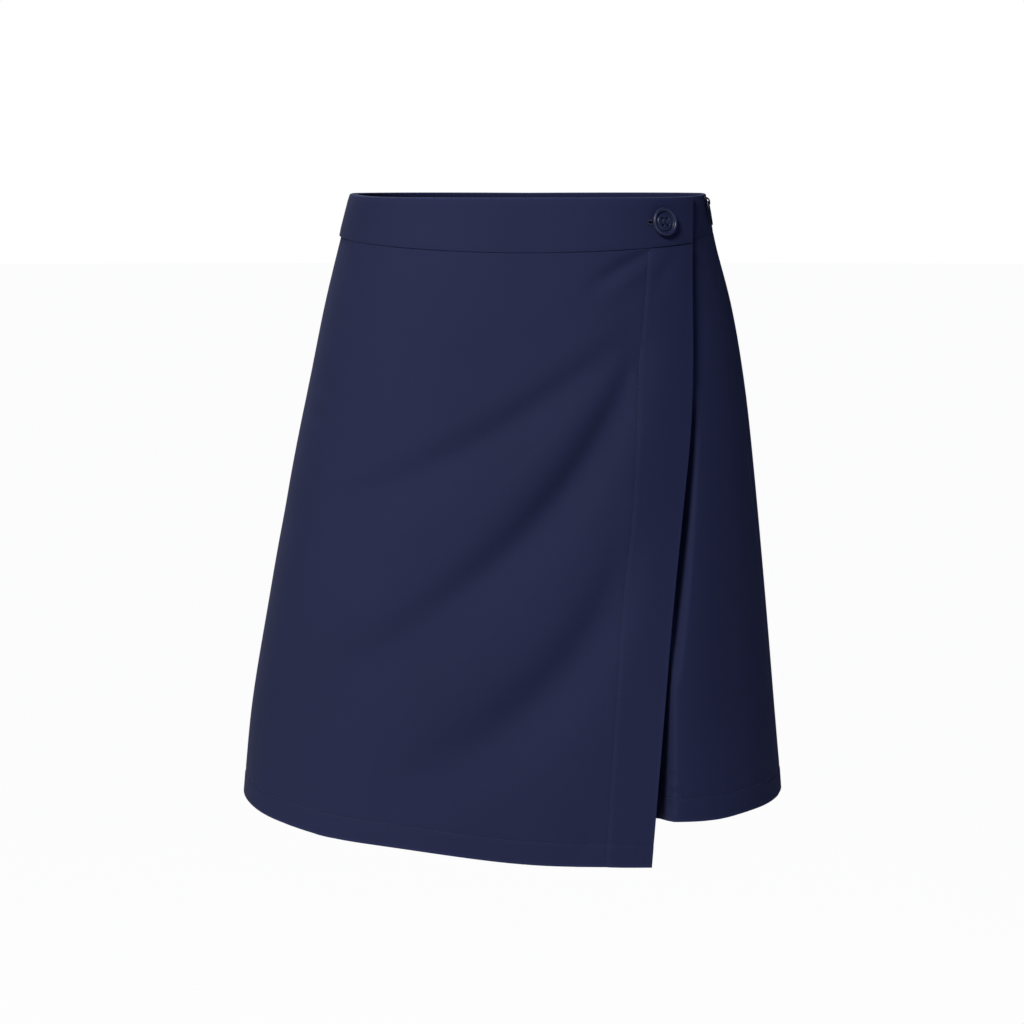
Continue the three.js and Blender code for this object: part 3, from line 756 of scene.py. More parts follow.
def twill(name, linear, pitch, sheen, roughness, bump):
    """Woven twill: slanting ribs of yarn over the cloth's own lengths, a little unevenness, and pressed edges painted
    lighter, partly as wear and partly as a painted highlight.
    """
    n = Finish(name)
    uv = n.new("ShaderNodeUVMap", {"uv_map": "cloth"}).outputs[0]
    lengths = n.new("ShaderNodeSeparateXYZ", _0=uv).outputs
    across, down = (n.math("MULTIPLY", lengths[k], 2 * math.pi / pitch) for k in (0, 1))
    rib = n.math("SINE", n.math("ADD", across, n.math("MULTIPLY", down, RIB_SLANT)))
    yarn = n.math("SUBTRACT", down, n.math("MULTIPLY", across, YARN_SLANT))
    yarn = n.math("SINE", n.math("MULTIPLY", yarn, YARN_COUNT))
    fibre = n.noise(uv, *FIBRE)
    height = n.math("ADD", n.math("MULTIPLY", rib, RIB_HEIGHT), n.math("MULTIPLY", yarn, YARN_HEIGHT))
    height = n.math("ADD", height, n.math("MULTIPLY", fibre, FIBRE_HEIGHT))
    cloud = n.noise(n.spot(), *CLOUD)
    shade = n.math("ADD", n.math("MULTIPLY", height, HEIGHT_SHADE), n.math("MULTIPLY", cloud, CLOUD_SHADE))
    shade = n.out("ShaderNodeMapRange", Value=shade, From_Min=SHADE_SPAN[0], From_Max=SHADE_SPAN[1])
    # pressed edges take a lighter colour: wear, and a painted highlight where the folded edge catches the light
    wear_and_highlight = n.new("ShaderNodeAttribute", {"attribute_name": "wear_and_highlight"}).outputs["Fac"]
    n.paint(
        Base_Color=n.blend(
            n.math("MULTIPLY", wear_and_highlight, WEAR_AND_HIGHLIGHT_SHARE),
            n.blend(shade, rgba(linear, DARK), rgba(linear, LIGHT)),
            rgba(linear, WEAR_AND_HIGHLIGHT_SHADE),
        ),
        Roughness=n.spread(fibre, roughness - ROUGHNESS_SPREAD, roughness + ROUGHNESS_SPREAD),
        Specular_IOR_Level=0.25,
        Sheen_Weight=sheen,
        Sheen_Roughness=0.45,
        Sheen_Tint=SHEEN_TINT,
    )
    n.relief(bump, CLOTH_RELIEF, height)
    return n.material


def grained(name, linear, tone, shades, relief, grain=None, roughness=None, **fixed):
    """A finish whose colour follows one fine noise, the tone, and whose roughness and relief follow another, the
    grain. Each noise is its scale and detail."""
    n = Finish(name)
    spot = n.spot()
    tone_of = n.noise(spot, *tone)
    grain_of = n.noise(spot, *grain) if grain else tone_of
    n.paint(Base_Color=n.blend(tone_of, *(rgba(linear, shade) for shade in shades)), **fixed)
    if roughness:
        n.paint(Roughness=n.spread(grain_of, *roughness))
    n.relief(*relief, grain_of)
    return n.material


def finish_of(slot):
    """The material of a slot, made once: twisted sewing thread, clouded button resin, dark lacquered zip metal."""
    c = colours()
    name, maker, settings = {
        "cloth": (
            "navy twill",
            twill,
            dict(linear=c.cloth, pitch=sizes().twill_pitch, sheen=0.03, roughness=0.82, bump=0.5),
        ),
        "zip_tape": ("zip tape", twill, dict(linear=c.tape, pitch=0.0009, sheen=0.05, roughness=0.85, bump=0.6)),
        "thread": (
            "navy thread",
            grained,
            dict(
                linear=c.thread,
                tone=(1800, 2),
                shades=(0.8, 1.35),
                relief=(0.4, 0.0001),
                Roughness=0.6,
                Sheen_Weight=0.15,
            ),
        ),
        "button": (
            "button resin",
            grained,
            dict(
                linear=c.button,
                tone=(260, 3),
                grain=(1500, 4),
                shades=(0.85, 1.2),
                roughness=(0.3, 0.48),
                relief=(0.08, 0.0002),
                Specular_IOR_Level=0.5,
            ),
        ),
        "zip_metal": (
            "zip lacquer",
            grained,
            dict(
                linear=c.metal,
                tone=(900, 4),
                shades=(0.8, 1.5),
                roughness=(0.26, 0.44),
                relief=(0.1, 0.0001),
                Metallic=0.75,
            ),
        ),
    }[slot]
    return bpy.data.materials.get(name) or maker(name, **settings)


# ---------------------------------------------------------------- stitches and zip teeth along a path


BAR_SIZE = "Bar length", "Bar width", "Bar height"


def bar_tree():
    """Geometry Nodes that set short rounded bars along a path. Each bar lies along the path, or is turned on the
    cloth by an angle, with its flat side on the cloth."""
    name = "bars along a path"
    if name in bpy.data.node_groups:
        return bpy.data.node_groups[name]
    tree = bpy.data.node_groups.new(name, "GeometryNodeTree")
    tree.is_modifier = True

    def socket(name, kind, default=None, way="INPUT"):
        made = tree.interface.new_socket(name, in_out=way, socket_type=f"NodeSocket{kind}")
        if default is not None:
            made.default_value = default

    socket("Geometry", "Geometry")
    socket("Pitch", "Float", 0.003)
    for name, default in zip(BAR_SIZE, (0.0023, 0.0004, 0.0003)):
        socket(name, "Float", default)
    socket("Turn", "Float", 0.0)
    socket("Unevenness", "Float", 0.06)
    socket("Seed", "Int", 7)
    socket("Finish", "Material")
    socket("Geometry", "Geometry", way="OUTPUT")
    n = Nodes(tree)
    given = n.new("NodeGroupInput").outputs
    path = n.out("GeometryNodeMeshToCurve", Mesh=given["Geometry"])
    spaced = n.out("GeometryNodeResampleCurve", {"mode": "LENGTH"}, Curve=path, Length=given["Pitch"])
    bar = n.out("GeometryNodeMeshUVSphere", Segments=8, Rings=6, Radius=0.5)
    facing = n.out(
        "FunctionNodeAxesToRotation",
        {"primary_axis": "Z", "secondary_axis": "X"},
        Primary_Axis=n.out("GeometryNodeInputNamedAttribute", {"data_type": "FLOAT_VECTOR"}, Name="outward"),
        Secondary_Axis=n.out("GeometryNodeInputTangent"),
    )
    wander = n.out("FunctionNodeRandomValue", {"data_type": "FLOAT_VECTOR"}, Min=(-1, -1, -1), Seed=given["Seed"])
    wander = n.out("ShaderNodeVectorMath", {"operation": "SCALE"}, _0=wander, Scale=given["Unevenness"])
    turn = n.out("ShaderNodeCombineXYZ", Z=given["Turn"])
    turn = n.out("ShaderNodeVectorMath", {"operation": "ADD"}, _0=turn, _1=wander)
    turn = n.out("FunctionNodeEulerToRotation", _0=turn)
    spin = n.out("FunctionNodeRotateRotation", {"rotation_space": "LOCAL"}, Rotation=facing, Rotate_By=turn)
    size = n.out("ShaderNodeCombineXYZ", **dict(zip("XYZ", (given[name] for name in BAR_SIZE))))
    laid = n.out("GeometryNodeInstanceOnPoints", Points=spaced, Instance=bar, Rotation=spin, Scale=size)
    real = n.out("GeometryNodeRealizeInstances", Geometry=laid)
    n.new("NodeGroupOutput", Geometry=n.out("GeometryNodeSetMaterial", Geometry=real, Material=given["Finish"]))
    return tree


def bars(name, paths, slot, pitch, size, **inputs):
    """A plain mesh of bars along paths. Each path is its points and the directions out of the cloth, and a bar's
    size is its length, width and height, all in metres."""
    points, out, edges = [], [], []
    for line, normals in paths:
        edges += [(len(points) + i, len(points) + i + 1) for i in range(len(line) - 1)]
        points += line.tolist()
        out += normals.tolist()
    mesh = bpy.data.meshes.new(name)
    mesh.from_pydata(points, edges, [])
    mesh.attributes.new("outward", "FLOAT_VECTOR", "POINT").data.foreach_set("vector", np.array(out).ravel())
    made = new_object(name, mesh)
    modifier = made.modifiers.new("bars", "NODES")
    modifier.node_group = bar_tree()
    given = {"Pitch": pitch, **dict(zip(BAR_SIZE, size)), **inputs, "Finish": finish_of(slot)}
    for socket in modifier.node_group.interface.items_tree:
        if socket.in_out == "INPUT" and socket.name in given:
            modifier[socket.identifier] = given[socket.name]
    apply_modifier(made, modifier)
    made.data.shade_smooth()
    return finish_piece(made, slot)


STITCH_END = 1.8  # topstitching stops this short of an edge
STITCH_LIFT = 0.05  # and lies this far out of the cloth's face
THREAD_FLATNESS = 0.8


def topstitch(name, sheet, lines):
    """Topstitching along lines of a sheet, each of them a row or a column or a part of one."""
    s = sizes()
    paths = []
    for line in lines:
        points, normals = sheet.points[line], sheet.normals[line]
        along = travelled(points, 0)
        inside = (along > STITCH_END) & (along < along[-1] - STITCH_END)
        paths.append(((points + normals * STITCH_LIFT)[inside] * MM, normals[inside]))
    return bars(name, paths, "thread", s.stitch + s.stitch_gap, (s.stitch, s.thread, s.thread * THREAD_FLATNESS))


# ---------------------------------------------------------------- the shorts

LEG_STEP = 2.6
LEG_SIZES = {"outside": 178, "inside": 118, "length": 334}
DENSE = 0.15, 0.7  # the part of the front left leg's width that has twice as many columns
SEAM_REACH = 14  # the cloth is held smooth this far from a seam
FADE_COLUMNS = 12  # and the folds die away over this many columns past the centre, round the leg's inside
LEG_HEM_RISE = 0.22

# How far a face rounds off at its edges: a sewn one or a leg's hem, the inner side of that hem, the wrap's folded
# edges, a waistband's, the inner side of those, and where the wrap's turned layers end.
SEAM_ROUND, HEM_ROUND, FOLD_ROUND, BAND_ROUND, INNER_ROUND, RAW_ROUND = 0.5, 0.4, 0.8, 0.9, 0.6, 0.3
LAYER_GAP = 0.02  # between a layer of cloth and the one turned behind it


def leg_columns(side, face):
    """Shares of the way from the side seam to the centre, twice as close where the left leg drops behind the
    wrap's free edge."""
    us = marks(LEG_SIZES["outside"], LEG_STEP) / LEG_SIZES["outside"]
    if side > 0 and face < 0:
        halves = (us[1:] + us[:-1]) / 2
        us = np.sort(np.concatenate([us, halves[(halves > DENSE[0]) & (halves < DENSE[1])]]))
    return us


def leg_sheet(side, face):
    """One quarter of the shorts as a sheet, with the piece of the grid above the fork left out."""
    us = leg_columns(side, face)
    inner = marks(LEG_SIZES["inside"], LEG_STEP)[1:] / LEG_SIZES["inside"] + 1
    vs = two_part(LEG_SIZES["length"], hem_depth(), LEG_STEP)
    fork, stitching = nearest(vs, FORK), nearest(vs, 1)
    vs[fork] = FORK
    outside = place(*leg_outside(side, face, *np.meshgrid(us, vs)))
    inside = place(*leg_inside(side, face, *np.meshgrid([1, *inner], vs)))
    turn = -side * face
    outside_normals, inside_normals = grid_normals(outside, turn), np.zeros_like(inside)
    inside_normals[fork:] = grid_normals(inside[fork:], turn)
    outside_normals[fork:, -1] = unit(outside_normals[fork:, -1] + inside_normals[fork:, 0])
    points = np.concatenate([outside, inside[:, 1:]], 1)
    normals = np.concatenate([outside_normals, inside_normals[:, 1:]], 1)
    exists = np.ones(points.shape[:2], bool)
    exists[:fork, len(us) :] = False
    flat = Sheet(points, turn, normals, exists)
    x, drop = points[..., 0], WAIST_TOP - points[..., 2]
    depth = fold_depth((FRONT_FOLDS if face < 0 else BACK_FOLDS)[side], np.abs(x), drop)
    depth = depth + unevenness(x, drop, side + 2 * face)
    past_centre = np.arange(points.shape[1]) - len(us)
    fade = smooth(np.where(past_centre < 0, 1.0, 1 - past_centre / FADE_COLUMNS))
    from_centre = np.abs(flat.across - flat.across[:, len(us) - 1 : len(us)])
    held = smooth(np.minimum(flat.edges("left top"), from_centre) / SEAM_REACH) * fade
    from_hem = flat.down - flat.down[stitching]
    depth = depth * held + turned_under(from_hem, flat.across, side + face, LEG_HEM_RISE)
    return flat.pushed(depth, normals), {"centre": len(us) - 1, "fork": fork, "stitching": stitching}


def leg_edges(sheet, at):
    """Distance from each point of a leg's grid to its nearest sewn or turned edge. The crotch seam's edge is left
    out, because the two legs' outer faces meet flat there."""
    centre, fork = at["centre"], at["fork"]
    outside = np.arange(sheet.across.shape[1]) <= centre
    near = np.minimum(np.where(outside, sheet.edges("left top"), FAR), sheet.edges("bottom"))
    near[fork:] = np.minimum(near[fork:], sheet.edges("right")[fork:])
    to_centre = sheet.across[:, centre : centre + 1] - sheet.across
    near[:fork] = np.minimum(near[:fork], np.where(outside, to_centre, FAR)[:fork])
    return near


class OBJECT_OT_culottes_shorts(bpy.types.Operator):
    """Sew the four panels of the shorts and turn up their hems"""

    bl_idname = "object.culottes_shorts"
    bl_label = "Shorts"

    def execute(self, context):
        cloth = sizes().cloth / MM
        for side_name, side in (("left", 1), ("right", -1)):
            for face_name, face in (("front", -1), ("back", 1)):
                name = f"{face_name}_{side_name}"
                sheet, at = leg_sheet(side, face)
                outer = round_off(leg_edges(sheet, at), SEAM_ROUND)
                panel = shell(f"{name}_panel", sheet, outer, cloth, worn_lit_edge_distance=sheet.edges("bottom"))
                turned = sheet[at["stitching"] :]
                hem = shell(f"{name}_hem", turned, cloth + LAYER_GAP, 2 * cloth - turned.eased(HEM_ROUND))
                stitches = topstitch(f"{name}_hem_stitches", sheet, [at["stitching"]])
                sew(name, sheet)
                sew(f"hem_{name}", turned)
        return {"FINISHED"}


# ---------------------------------------------------------------- the wrap

WRAP_STEP = 2.6
WRAP_SIZES = {"panel": 245, "facing": 37, "length": 350}
WRAP_FOLDS_START = 0.4  # the folds reach their depth over this angle from the side seam
FACING_STIFF, FACING_TURN = 0.65, 0.5  # the facing holds this share of the folds flat, from this part of it on
FACING_RISE, WRAP_HEM_RISE = 0.2, 0.25


def wrap_sheet():
    us = two_part(WRAP_SIZES["panel"], WRAP_SIZES["facing"], WRAP_STEP)
    vs = two_part(WRAP_SIZES["length"], hem_depth(), WRAP_STEP)
    facing, stitching = nearest(us, 1), nearest(vs, 1)
    u, v = np.meshgrid(us, vs)
    points, angle, drop = wrap_face(u, v)
    flat = Sheet(points, -1)
    x = points[..., 0]
    loose = smooth((angle + RIGHT_ANGLE) / WRAP_FOLDS_START) * (1 - FACING_STIFF * smooth((u - 1) / FACING_TURN))
    depth = fold_depth(WRAP_FOLDS, x, drop) * loose
    depth = depth + unevenness(x, drop, 0.6) * smooth(flat.edges("left top") / SEAM_REACH)
    depth = depth + turned_under(flat.across - flat.across[:, facing][:, None], flat.down, 1.3, FACING_RISE)
    depth = depth + turned_under(flat.down - flat.down[stitching], flat.across, 2.4, WRAP_HEM_RISE)
    return flat.pushed(depth), facing, stitching


class OBJECT_OT_culottes_wrap(bpy.types.Operator):
    """Sew the wrap panel with its turned facing and hem"""

    bl_idname = "object.culottes_wrap"
    bl_label = "Wrap panel"

    def execute(self, context):
        cloth = sizes().cloth / MM
        sheet, column, row = wrap_sheet()
        outer = sheet.eased(SEAM_ROUND, "left top") + sheet.eased(FOLD_ROUND, "right bottom")
        panel = shell("wrap_panel_cloth", sheet, outer, cloth, worn_lit_edge_distance=sheet.edges("right bottom"))
        turned = {}
        for name, part, folded, raw in (
            ("facing", sheet[:, column:], "right bottom", "left"),
            ("hem", sheet[row:, :column], "bottom", "left right top"),
        ):
            inner = 2 * cloth - part.eased(INNER_ROUND, folded) - part.eased(RAW_ROUND, raw)
            turned[name] = part, shell(f"wrap_{name}_cloth", part, cloth + LAYER_GAP, inner)
        stitches = topstitch("wrap_stitches", sheet, [np.s_[:, column], np.s_[row, :column]])
        sew("wrap_panel", sheet)
        for name, (part, made) in turned.items():
            sew(f"wrap_{name}", part)
        return {"FINISHED"}


# ---------------------------------------------------------------- the waistbands

BAND_STEP = 2.4
BAND_HEIGHT, BAND_MIDDLE = 28, 12.0
WRAP_BAND_EXTRA = 0.3  # the wrap's band is this much thicker
ZIP_GAP = 0.9  # the bands' ends part here for the slider's neck
BAND_WAVE_ACROSS, BAND_WAVE_DOWN, BAND_WAVE_SHARE = 1.3, 2, 0.8  # shorter and lower waves than in the cloth
BAND_HELD = 6  # the band is held smooth this far from its edges
PUFF, PUFF_REACH = 0.25, 5  # its layers stand off each other between its upper and lower edge


def band_angles(first, last):
    """Angles of a band's columns."""
    turn = np.linspace(first, last, 400)
    lengths = travelled(around(turn, BAND_MIDDLE), 0)
    return np.interp(marks(lengths[-1], BAND_STEP), lengths, turn)


def band_sheet(angles, seam, lift, end=None):
    """A waistband's outer face from its top edge down to its seam, and how far it is pushed in. end gives the
    angle of its free end."""
    angle, v = np.meshgrid(angles, marks(BAND_HEIGHT, BAND_STEP) / BAND_HEIGHT)
    drop = mix(waist_top(angle), seam(angle), v)
    if end:
        angle = mix(angles[0], end(drop), (angle - angles[0]) / (angles[-1] - angles[0]))
        drop = mix(waist_top(angle), seam(angle), v)
    sheet = Sheet(around(angle, drop, lift(angle)), -1)
    wave = unevenness(sheet.across * BAND_WAVE_ACROSS, drop * BAND_WAVE_DOWN, 4.2)
    wave = wave * smooth(sheet.edges() / BAND_HELD) * BAND_WAVE_SHARE
    return sheet, wave - PUFF * smooth(sheet.edges("top bottom") / PUFF_REACH)


class OBJECT_OT_culottes_waistbands(bpy.types.Operator):
    """Sew the front, back and wrap waistbands, and cut the buttonhole"""

    bl_idname = "object.culottes_waistbands"
    bl_label = "Waistbands"

    def execute(self, context):
        half_gap = ZIP_GAP / 2 / ZIP_ARC
        front = band_angles(WRAP_START, LEFT_SEAM - half_gap)
        back = band_angles(LEFT_SEAM + half_gap, 3 * RIGHT_ANGLE - CLOSE / SIDE_ARC)
        wrapped = band_angles(WRAP_START, float(self.free_end(0.0)))
        self.band("front", *band_sheet(front, waist_seam, lambda angle: 0))
        self.band("back", *band_sheet(back, waist_seam, self.meets_wrap))
        sheet, depth = band_sheet(wrapped, wrap_seam, lambda angle: BAND_LIFT, self.free_end)
        self.band("wrap", sheet, depth + button_dimple(sheet), WRAP_BAND_EXTRA, buttonhole_slot())
        return {"FINISHED"}

    def meets_wrap(self, angle):
        turned = 2 * math.pi - angle
        return np.where(turned < math.pi, back_lift(turned, BAND_LIFT), 0)

    def free_end(self, drop):
        return angle_at(wrap["edge_x"](drop), drop, BAND_LIFT, SQUARE)

    def band(self, name, sheet, depth, extra=0, slot=None):
        pushed = sheet.pushed(depth)
        outer = pushed.eased(BAND_ROUND, "top right") + pushed.eased(SEAM_ROUND, "left bottom")
        inner = sizes().band / MM + extra - pushed.eased(INNER_ROUND)
        made = shell(f"waistband_{name}_cloth", pushed, outer, inner, worn_lit_edge_distance=pushed.edges("top right"))
        if slot:
            cut_away(made, [slot])
        sew(f"waistband_{name}", sheet)


# ---------------------------------------------------------------- the button and its hole

BUTTON_X, BUTTON_DROP = 83.7, 15.6
HOLE_IN, HOLE_OUT = 10.9, 4.0  # how far the buttonhole runs each way from the button's middle
HOLE_HALF = 0.6  # half its opening
DIMPLE, DIMPLE_REACH = 0.45, 9  # the band sinks under the button
DRAW, DRAW_AT, DRAW_REACH = 0.12, 12, 4  # and rises a little round it
PURL_OUT, PURL_LIFT = 0.55, 0.32  # how far the purl stitches' line is outside the slot, and above the band
TACK_HALF, TACK_LIFT = 1.9, 0.42  # half the bar tack's length, and its height above the band


def seat_on(angle, drop, lift):
    """A place on the cloth: +Z is out of it, +Y up it and +X across it to the wearer's left, in metres."""
    nudge = 1e-3
    spot = around(angle, drop, lift)
    across = unit(around(angle + nudge, drop, lift) - around(angle - nudge, drop, lift))
    down = unit(around(angle, drop + 1, lift) - around(angle, drop - 1, lift))
    out = unit(np.cross(down, across))
    seat = Matrix.Identity(4)
    for column, axis in enumerate((across, np.cross(out, across), out)):
        seat.col[column] = (*axis, 0)
    seat.translation = Vector(spot * MM)
    return seat


def button_angle():
    return float(angle_at(BUTTON_X, BUTTON_DROP, BAND_LIFT, SQUARE))


def button_seat():
    return seat_on(button_angle(), BUTTON_DROP, BAND_LIFT)


def button_dimple(sheet):
    """The band sinks a little under the button and draws towards it."""
    away = np.linalg.norm(sheet.points - np.array(button_seat().translation) / MM, axis=-1)
    return DIMPLE * np.exp(-((away / DIMPLE_REACH) ** 2)) - DRAW * np.exp(-(((away - DRAW_AT) / DRAW_REACH) ** 2))


def moved_mesh(mesh, matrix):
    mesh.transform(matrix)
    mesh.update()
    return mesh


def raised(mesh, height):
    return moved_mesh(mesh, Matrix.Translation((0, 0, height * MM)))


def settle(made, seat, slot, node=None, rides_on=GARMENT, crease=50):
    """Sets a piece on its seat and finishes it."""
    moved_mesh(made.data, seat)
    face_out(made.data, crease)
    finish_piece(made, slot, rides_on)
    if node:
        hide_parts(node)


def arc(x, y, radius, start, sweep, steps):
    """Points along a round part of an outline, from one angle on over another, in degrees."""
    turns = [math.radians(start + sweep * i / steps) for i in range(steps + 1)]
    return [(x + radius * math.cos(a), y + radius * math.sin(a)) for a in turns]


def stadium(first, last, half, steps=10):
    """An outline with round ends, from first to last along X."""
    return arc(last - half, 0, half, -90, 180, steps) + arc(first + half, 0, half, 90, 180, steps)


def prism(outline, low, high):
    """A closed mesh that stands on an outline, in millimetres."""
    count = len(outline)
    vertices = [(x * MM, y * MM, z * MM) for z in (low, high) for x, y in outline]
    sides = [(i, (i + 1) % count, (i + 1) % count + count, i + count) for i in range(count)]
    mesh = bpy.data.meshes.new("prism")
    mesh.from_pydata(vertices, [], [tuple(reversed(range(count))), tuple(range(count, 2 * count)), *sides])
    return mesh


def cut_away(made, cutters):
    """Cuts solids out of a piece and leaves it a plain mesh."""
    for cutter in cutters:
        tool = new_object("cutter", cutter)
        modifier = made.modifiers.new("cut", "BOOLEAN")
        modifier.operation, modifier.solver, modifier.object = "DIFFERENCE", "EXACT", tool
        apply_modifier(made, modifier)
        bpy.data.objects.remove(tool)


def buttonhole_slot():
    """A cutter that reaches through the band."""
    return moved_mesh(prism(stadium(-HOLE_IN, HOLE_OUT, HOLE_HALF), -8, 8), button_seat())


def lathe(profile, segments=72):
    """A round closed mesh about +Z from (radius, height) pairs that start and end on the axis."""
    work = bmesh.new()
    turns = [2 * math.pi * i / segments for i in range(segments)]
    rings = []
    for radius, height in profile:
        if radius == 0:
            rings.append([work.verts.new((0, 0, height * MM))] * segments)
        else:
            ring = [(radius * MM * math.cos(a), radius * MM * math.sin(a), height * MM) for a in turns]
            rings.append([work.verts.new(spot) for spot in ring])
    for low, high in zip(rings, rings[1:]):
        for i in range(segments):
            j = (i + 1) % segments
            corners = list(dict.fromkeys([low[i], low[j], high[j], high[i]]))
            if len(corners) > 2:
                work.faces.new(corners)
    mesh = bpy.data.meshes.new("lathe")
    work.to_mesh(mesh)
    work.free()
    return mesh


def soften(pairs, steps=5):
    """Rounds a profile's corners by a smooth curve through its pairs."""
    fine, last = [], len(pairs) - 1
    for i in range(last):
        p0, p1, p2, p3 = (np.array(pairs[min(max(k, 0), last)], float) for k in range(i - 1, i + 3))
        for t in np.linspace(0, 1, steps, endpoint=False):
            radius, height = hermite(t, p1, p2, 0.5 * (p2 - p0), 0.5 * (p3 - p1))
            fine.append((max(float(radius), 0.0), float(height)))
    return [*fine, pairs[last]]


ASKEW = np.array([0.31, 0.22, 0.93])  # a direction that no thread follows


def tube(points, radius, sides=8):
    """A closed round tube through points, as its vertices and faces."""
    along = unit(np.gradient(points, axis=0))
    side = unit(np.cross(along, ASKEW))
    up = np.cross(along, side)
    angles = np.arange(sides) * 2 * math.pi / sides
    ring = side[:, None] * np.cos(angles)[None, :, None] + up[:, None] * np.sin(angles)[None, :, None]
    vertices = (points[:, None] + radius * ring).reshape(-1, 3)
    faces = []
    for i in range(len(points) - 1):
        for k in range(sides):
            a, b = i * sides + k, i * sides + (k + 1) % sides
            faces.append((a, b, b + sides, a + sides))
    last = (len(points) - 1) * sides
    return vertices, [*faces, tuple(reversed(range(sides))), tuple(range(last, last + sides))]


def joined(name, pieces):
    """One mesh from several (vertices, faces) pairs, in millimetres."""
    vertices, faces = [], []
    for points, polygons in pieces:
        faces += [tuple(len(vertices) + k for k in polygon) for polygon in polygons]
        vertices += (points * MM).tolist()
    mesh = bpy.data.meshes.new(name)
    mesh.from_pydata(vertices, [], faces)
    return mesh


class OBJECT_OT_culottes_button(bpy.types.Operator):
    """Make the button, its thread and shank, and work the buttonhole"""

    bl_idname = "object.culottes_button"
    bl_label = "Button and buttonhole"

    # From the middle of the back over the rim to the middle of the front: share of the radius, and height.
    PROFILE = (
        ((0, 0.5), (0.62, 0.5), (0.86, 0.95), (0.975, 1.7), (1, 2.5), (0.965, 3.3), (0.9, 3.75), (0.83, 3.7))
        + ((0.765, 3.2), (0.715, 2.2), (0.67, 1.95), (0.62, 2.3), (0.55, 2.75), (0.42, 2.72), (0.2, 2.55), (0, 2.5))
    )
    HOLE = (0, -2), (1.0, -2), (1.0, 2.3), (1.4, 2.85), (1.4, 5), (0, 5)  # the cutter of one hole, splayed at its top
    HOLE_SPREAD = 1.75  # from the middle of the button, across and up
    # One strand from hole to hole: share of the spread, and height.
    ARCH = (-1, 0.6), (-0.98, 1.7), (-0.8, 2.45), (-0.35, 2.72), (0.35, 2.72), (0.8, 2.45), (0.98, 1.7), (1, 0.6)
    STRANDS = (-0.34, 0), (0, 0.16), (0.34, 0)  # the three strands of a bundle: shift and rise
    STRAND_RADIUS, GATHER = 0.2, 0.35
    COIL_TURNS, COIL_RADIUS, COIL_THREAD, CORE_RADIUS = 5, 0.95, 0.24, 0.9

    def execute(self, context):
        seat = button_seat()
        self.disc(seat)
        settle(new_object("button_thread", self.strands()), seat, "thread")
        settle(new_object("button_shank_thread", self.shank()), seat, "thread", "button_shank")
        self.buttonhole(seat)
        return {"FINISHED"}

    def disc(self, seat):
        """A dished disc with a raised rim, a groove inside it and four holes."""
        radius = sizes().button_radius / MM
        made = new_object("button_disc", lathe(soften([(radius * share, height) for share, height in self.PROFILE])))
        face_out(made.data)
        cutters = []
        for across, up in ((-1, -1), (-1, 1), (1, -1), (1, 1)):
            shift = Matrix.Translation((across * self.HOLE_SPREAD * MM, up * self.HOLE_SPREAD * MM, 0))
            cutters.append(moved_mesh(lathe(self.HOLE, 28), shift))
        cut_away(made, cutters)
        settle(made, seat, "button", "button")

    def strands(self):
        """Two upright bundles of thread, each from a lower hole to the one above it."""
        steps = np.linspace(0, 1, len(self.ARCH))
        share, height = (np.interp(np.linspace(0, 1, 29), steps, column) for column in np.array(self.ARCH).T)
        pieces = []
        for across in (-self.HOLE_SPREAD, self.HOLE_SPREAD):
            for shift, rise in self.STRANDS:
                x = across + shift * (1 - self.GATHER * np.abs(share))
                points = np.stack([x, share * self.HOLE_SPREAD, height + rise + self.STRAND_RADIUS], 1)
                pieces.append(tube(points, self.STRAND_RADIUS))
        return joined("button_thread", pieces)

    def shank(self):
        """Thread wound round a short core between the button and the band."""
        low, high = -BAND_LIFT + 0.1, 0.45
        t = np.linspace(0, 1, self.COIL_TURNS * 20)
        angle = 2 * math.pi * self.COIL_TURNS * t
        heights = mix(low + 0.2, high - 0.2, t)
        coil = np.stack([self.COIL_RADIUS * np.cos(angle), self.COIL_RADIUS * np.sin(angle), heights], 1)
        core = np.stack([np.zeros(6), np.zeros(6), np.linspace(low, high, 6)], 1)
        return joined("button_shank_thread", [tube(coil, self.COIL_THREAD), tube(core, self.CORE_RADIUS, 12)])

    def buttonhole(self, seat):
        """Purl stitches round the slot and a bar tack at its inner end."""
        out = np.array(seat.to_3x3())[:, 2]
        start, nudge = button_angle(), 0.01
        rate = np.linalg.norm(around(start + nudge, BUTTON_DROP, BAND_LIFT) - around(start, BUTTON_DROP, BAND_LIFT))
        outline = stadium(-HOLE_IN, HOLE_OUT, HOLE_HALF + PURL_OUT, 14)
        outline = np.array([*outline, outline[0]])
        steps = np.linspace(0, len(outline) - 1, 220)
        purl = np.stack([np.interp(steps, np.arange(len(outline)), column) for column in outline.T], 1)
        tack = np.array([(-HOLE_IN - 0.6, y) for y in np.linspace(-TACK_HALF, TACK_HALF, 12)])
        for name, path, lift, pitch, size in (
            ("buttonhole_stitches", purl, PURL_LIFT, 0.42, (1.3, 0.38, 0.3)),
            ("buttonhole_tack", tack, TACK_LIFT, 0.36, (1.2, 0.36, 0.3)),
        ):
            # the band falls away from the seat's plane, so the path is laid on the band itself
            angles = start + path[:, 0] * nudge / rate
            points = (around(angles, BUTTON_DROP - path[:, 1], BAND_LIFT) + out * lift) * MM
            paths = [(points, np.tile(out, (len(points), 1)))]
            bars(name, paths, "thread", pitch * MM, [length_of * MM for length_of in size], Turn=RIGHT_ANGLE)


# ---------------------------------------------------------------- the side zip

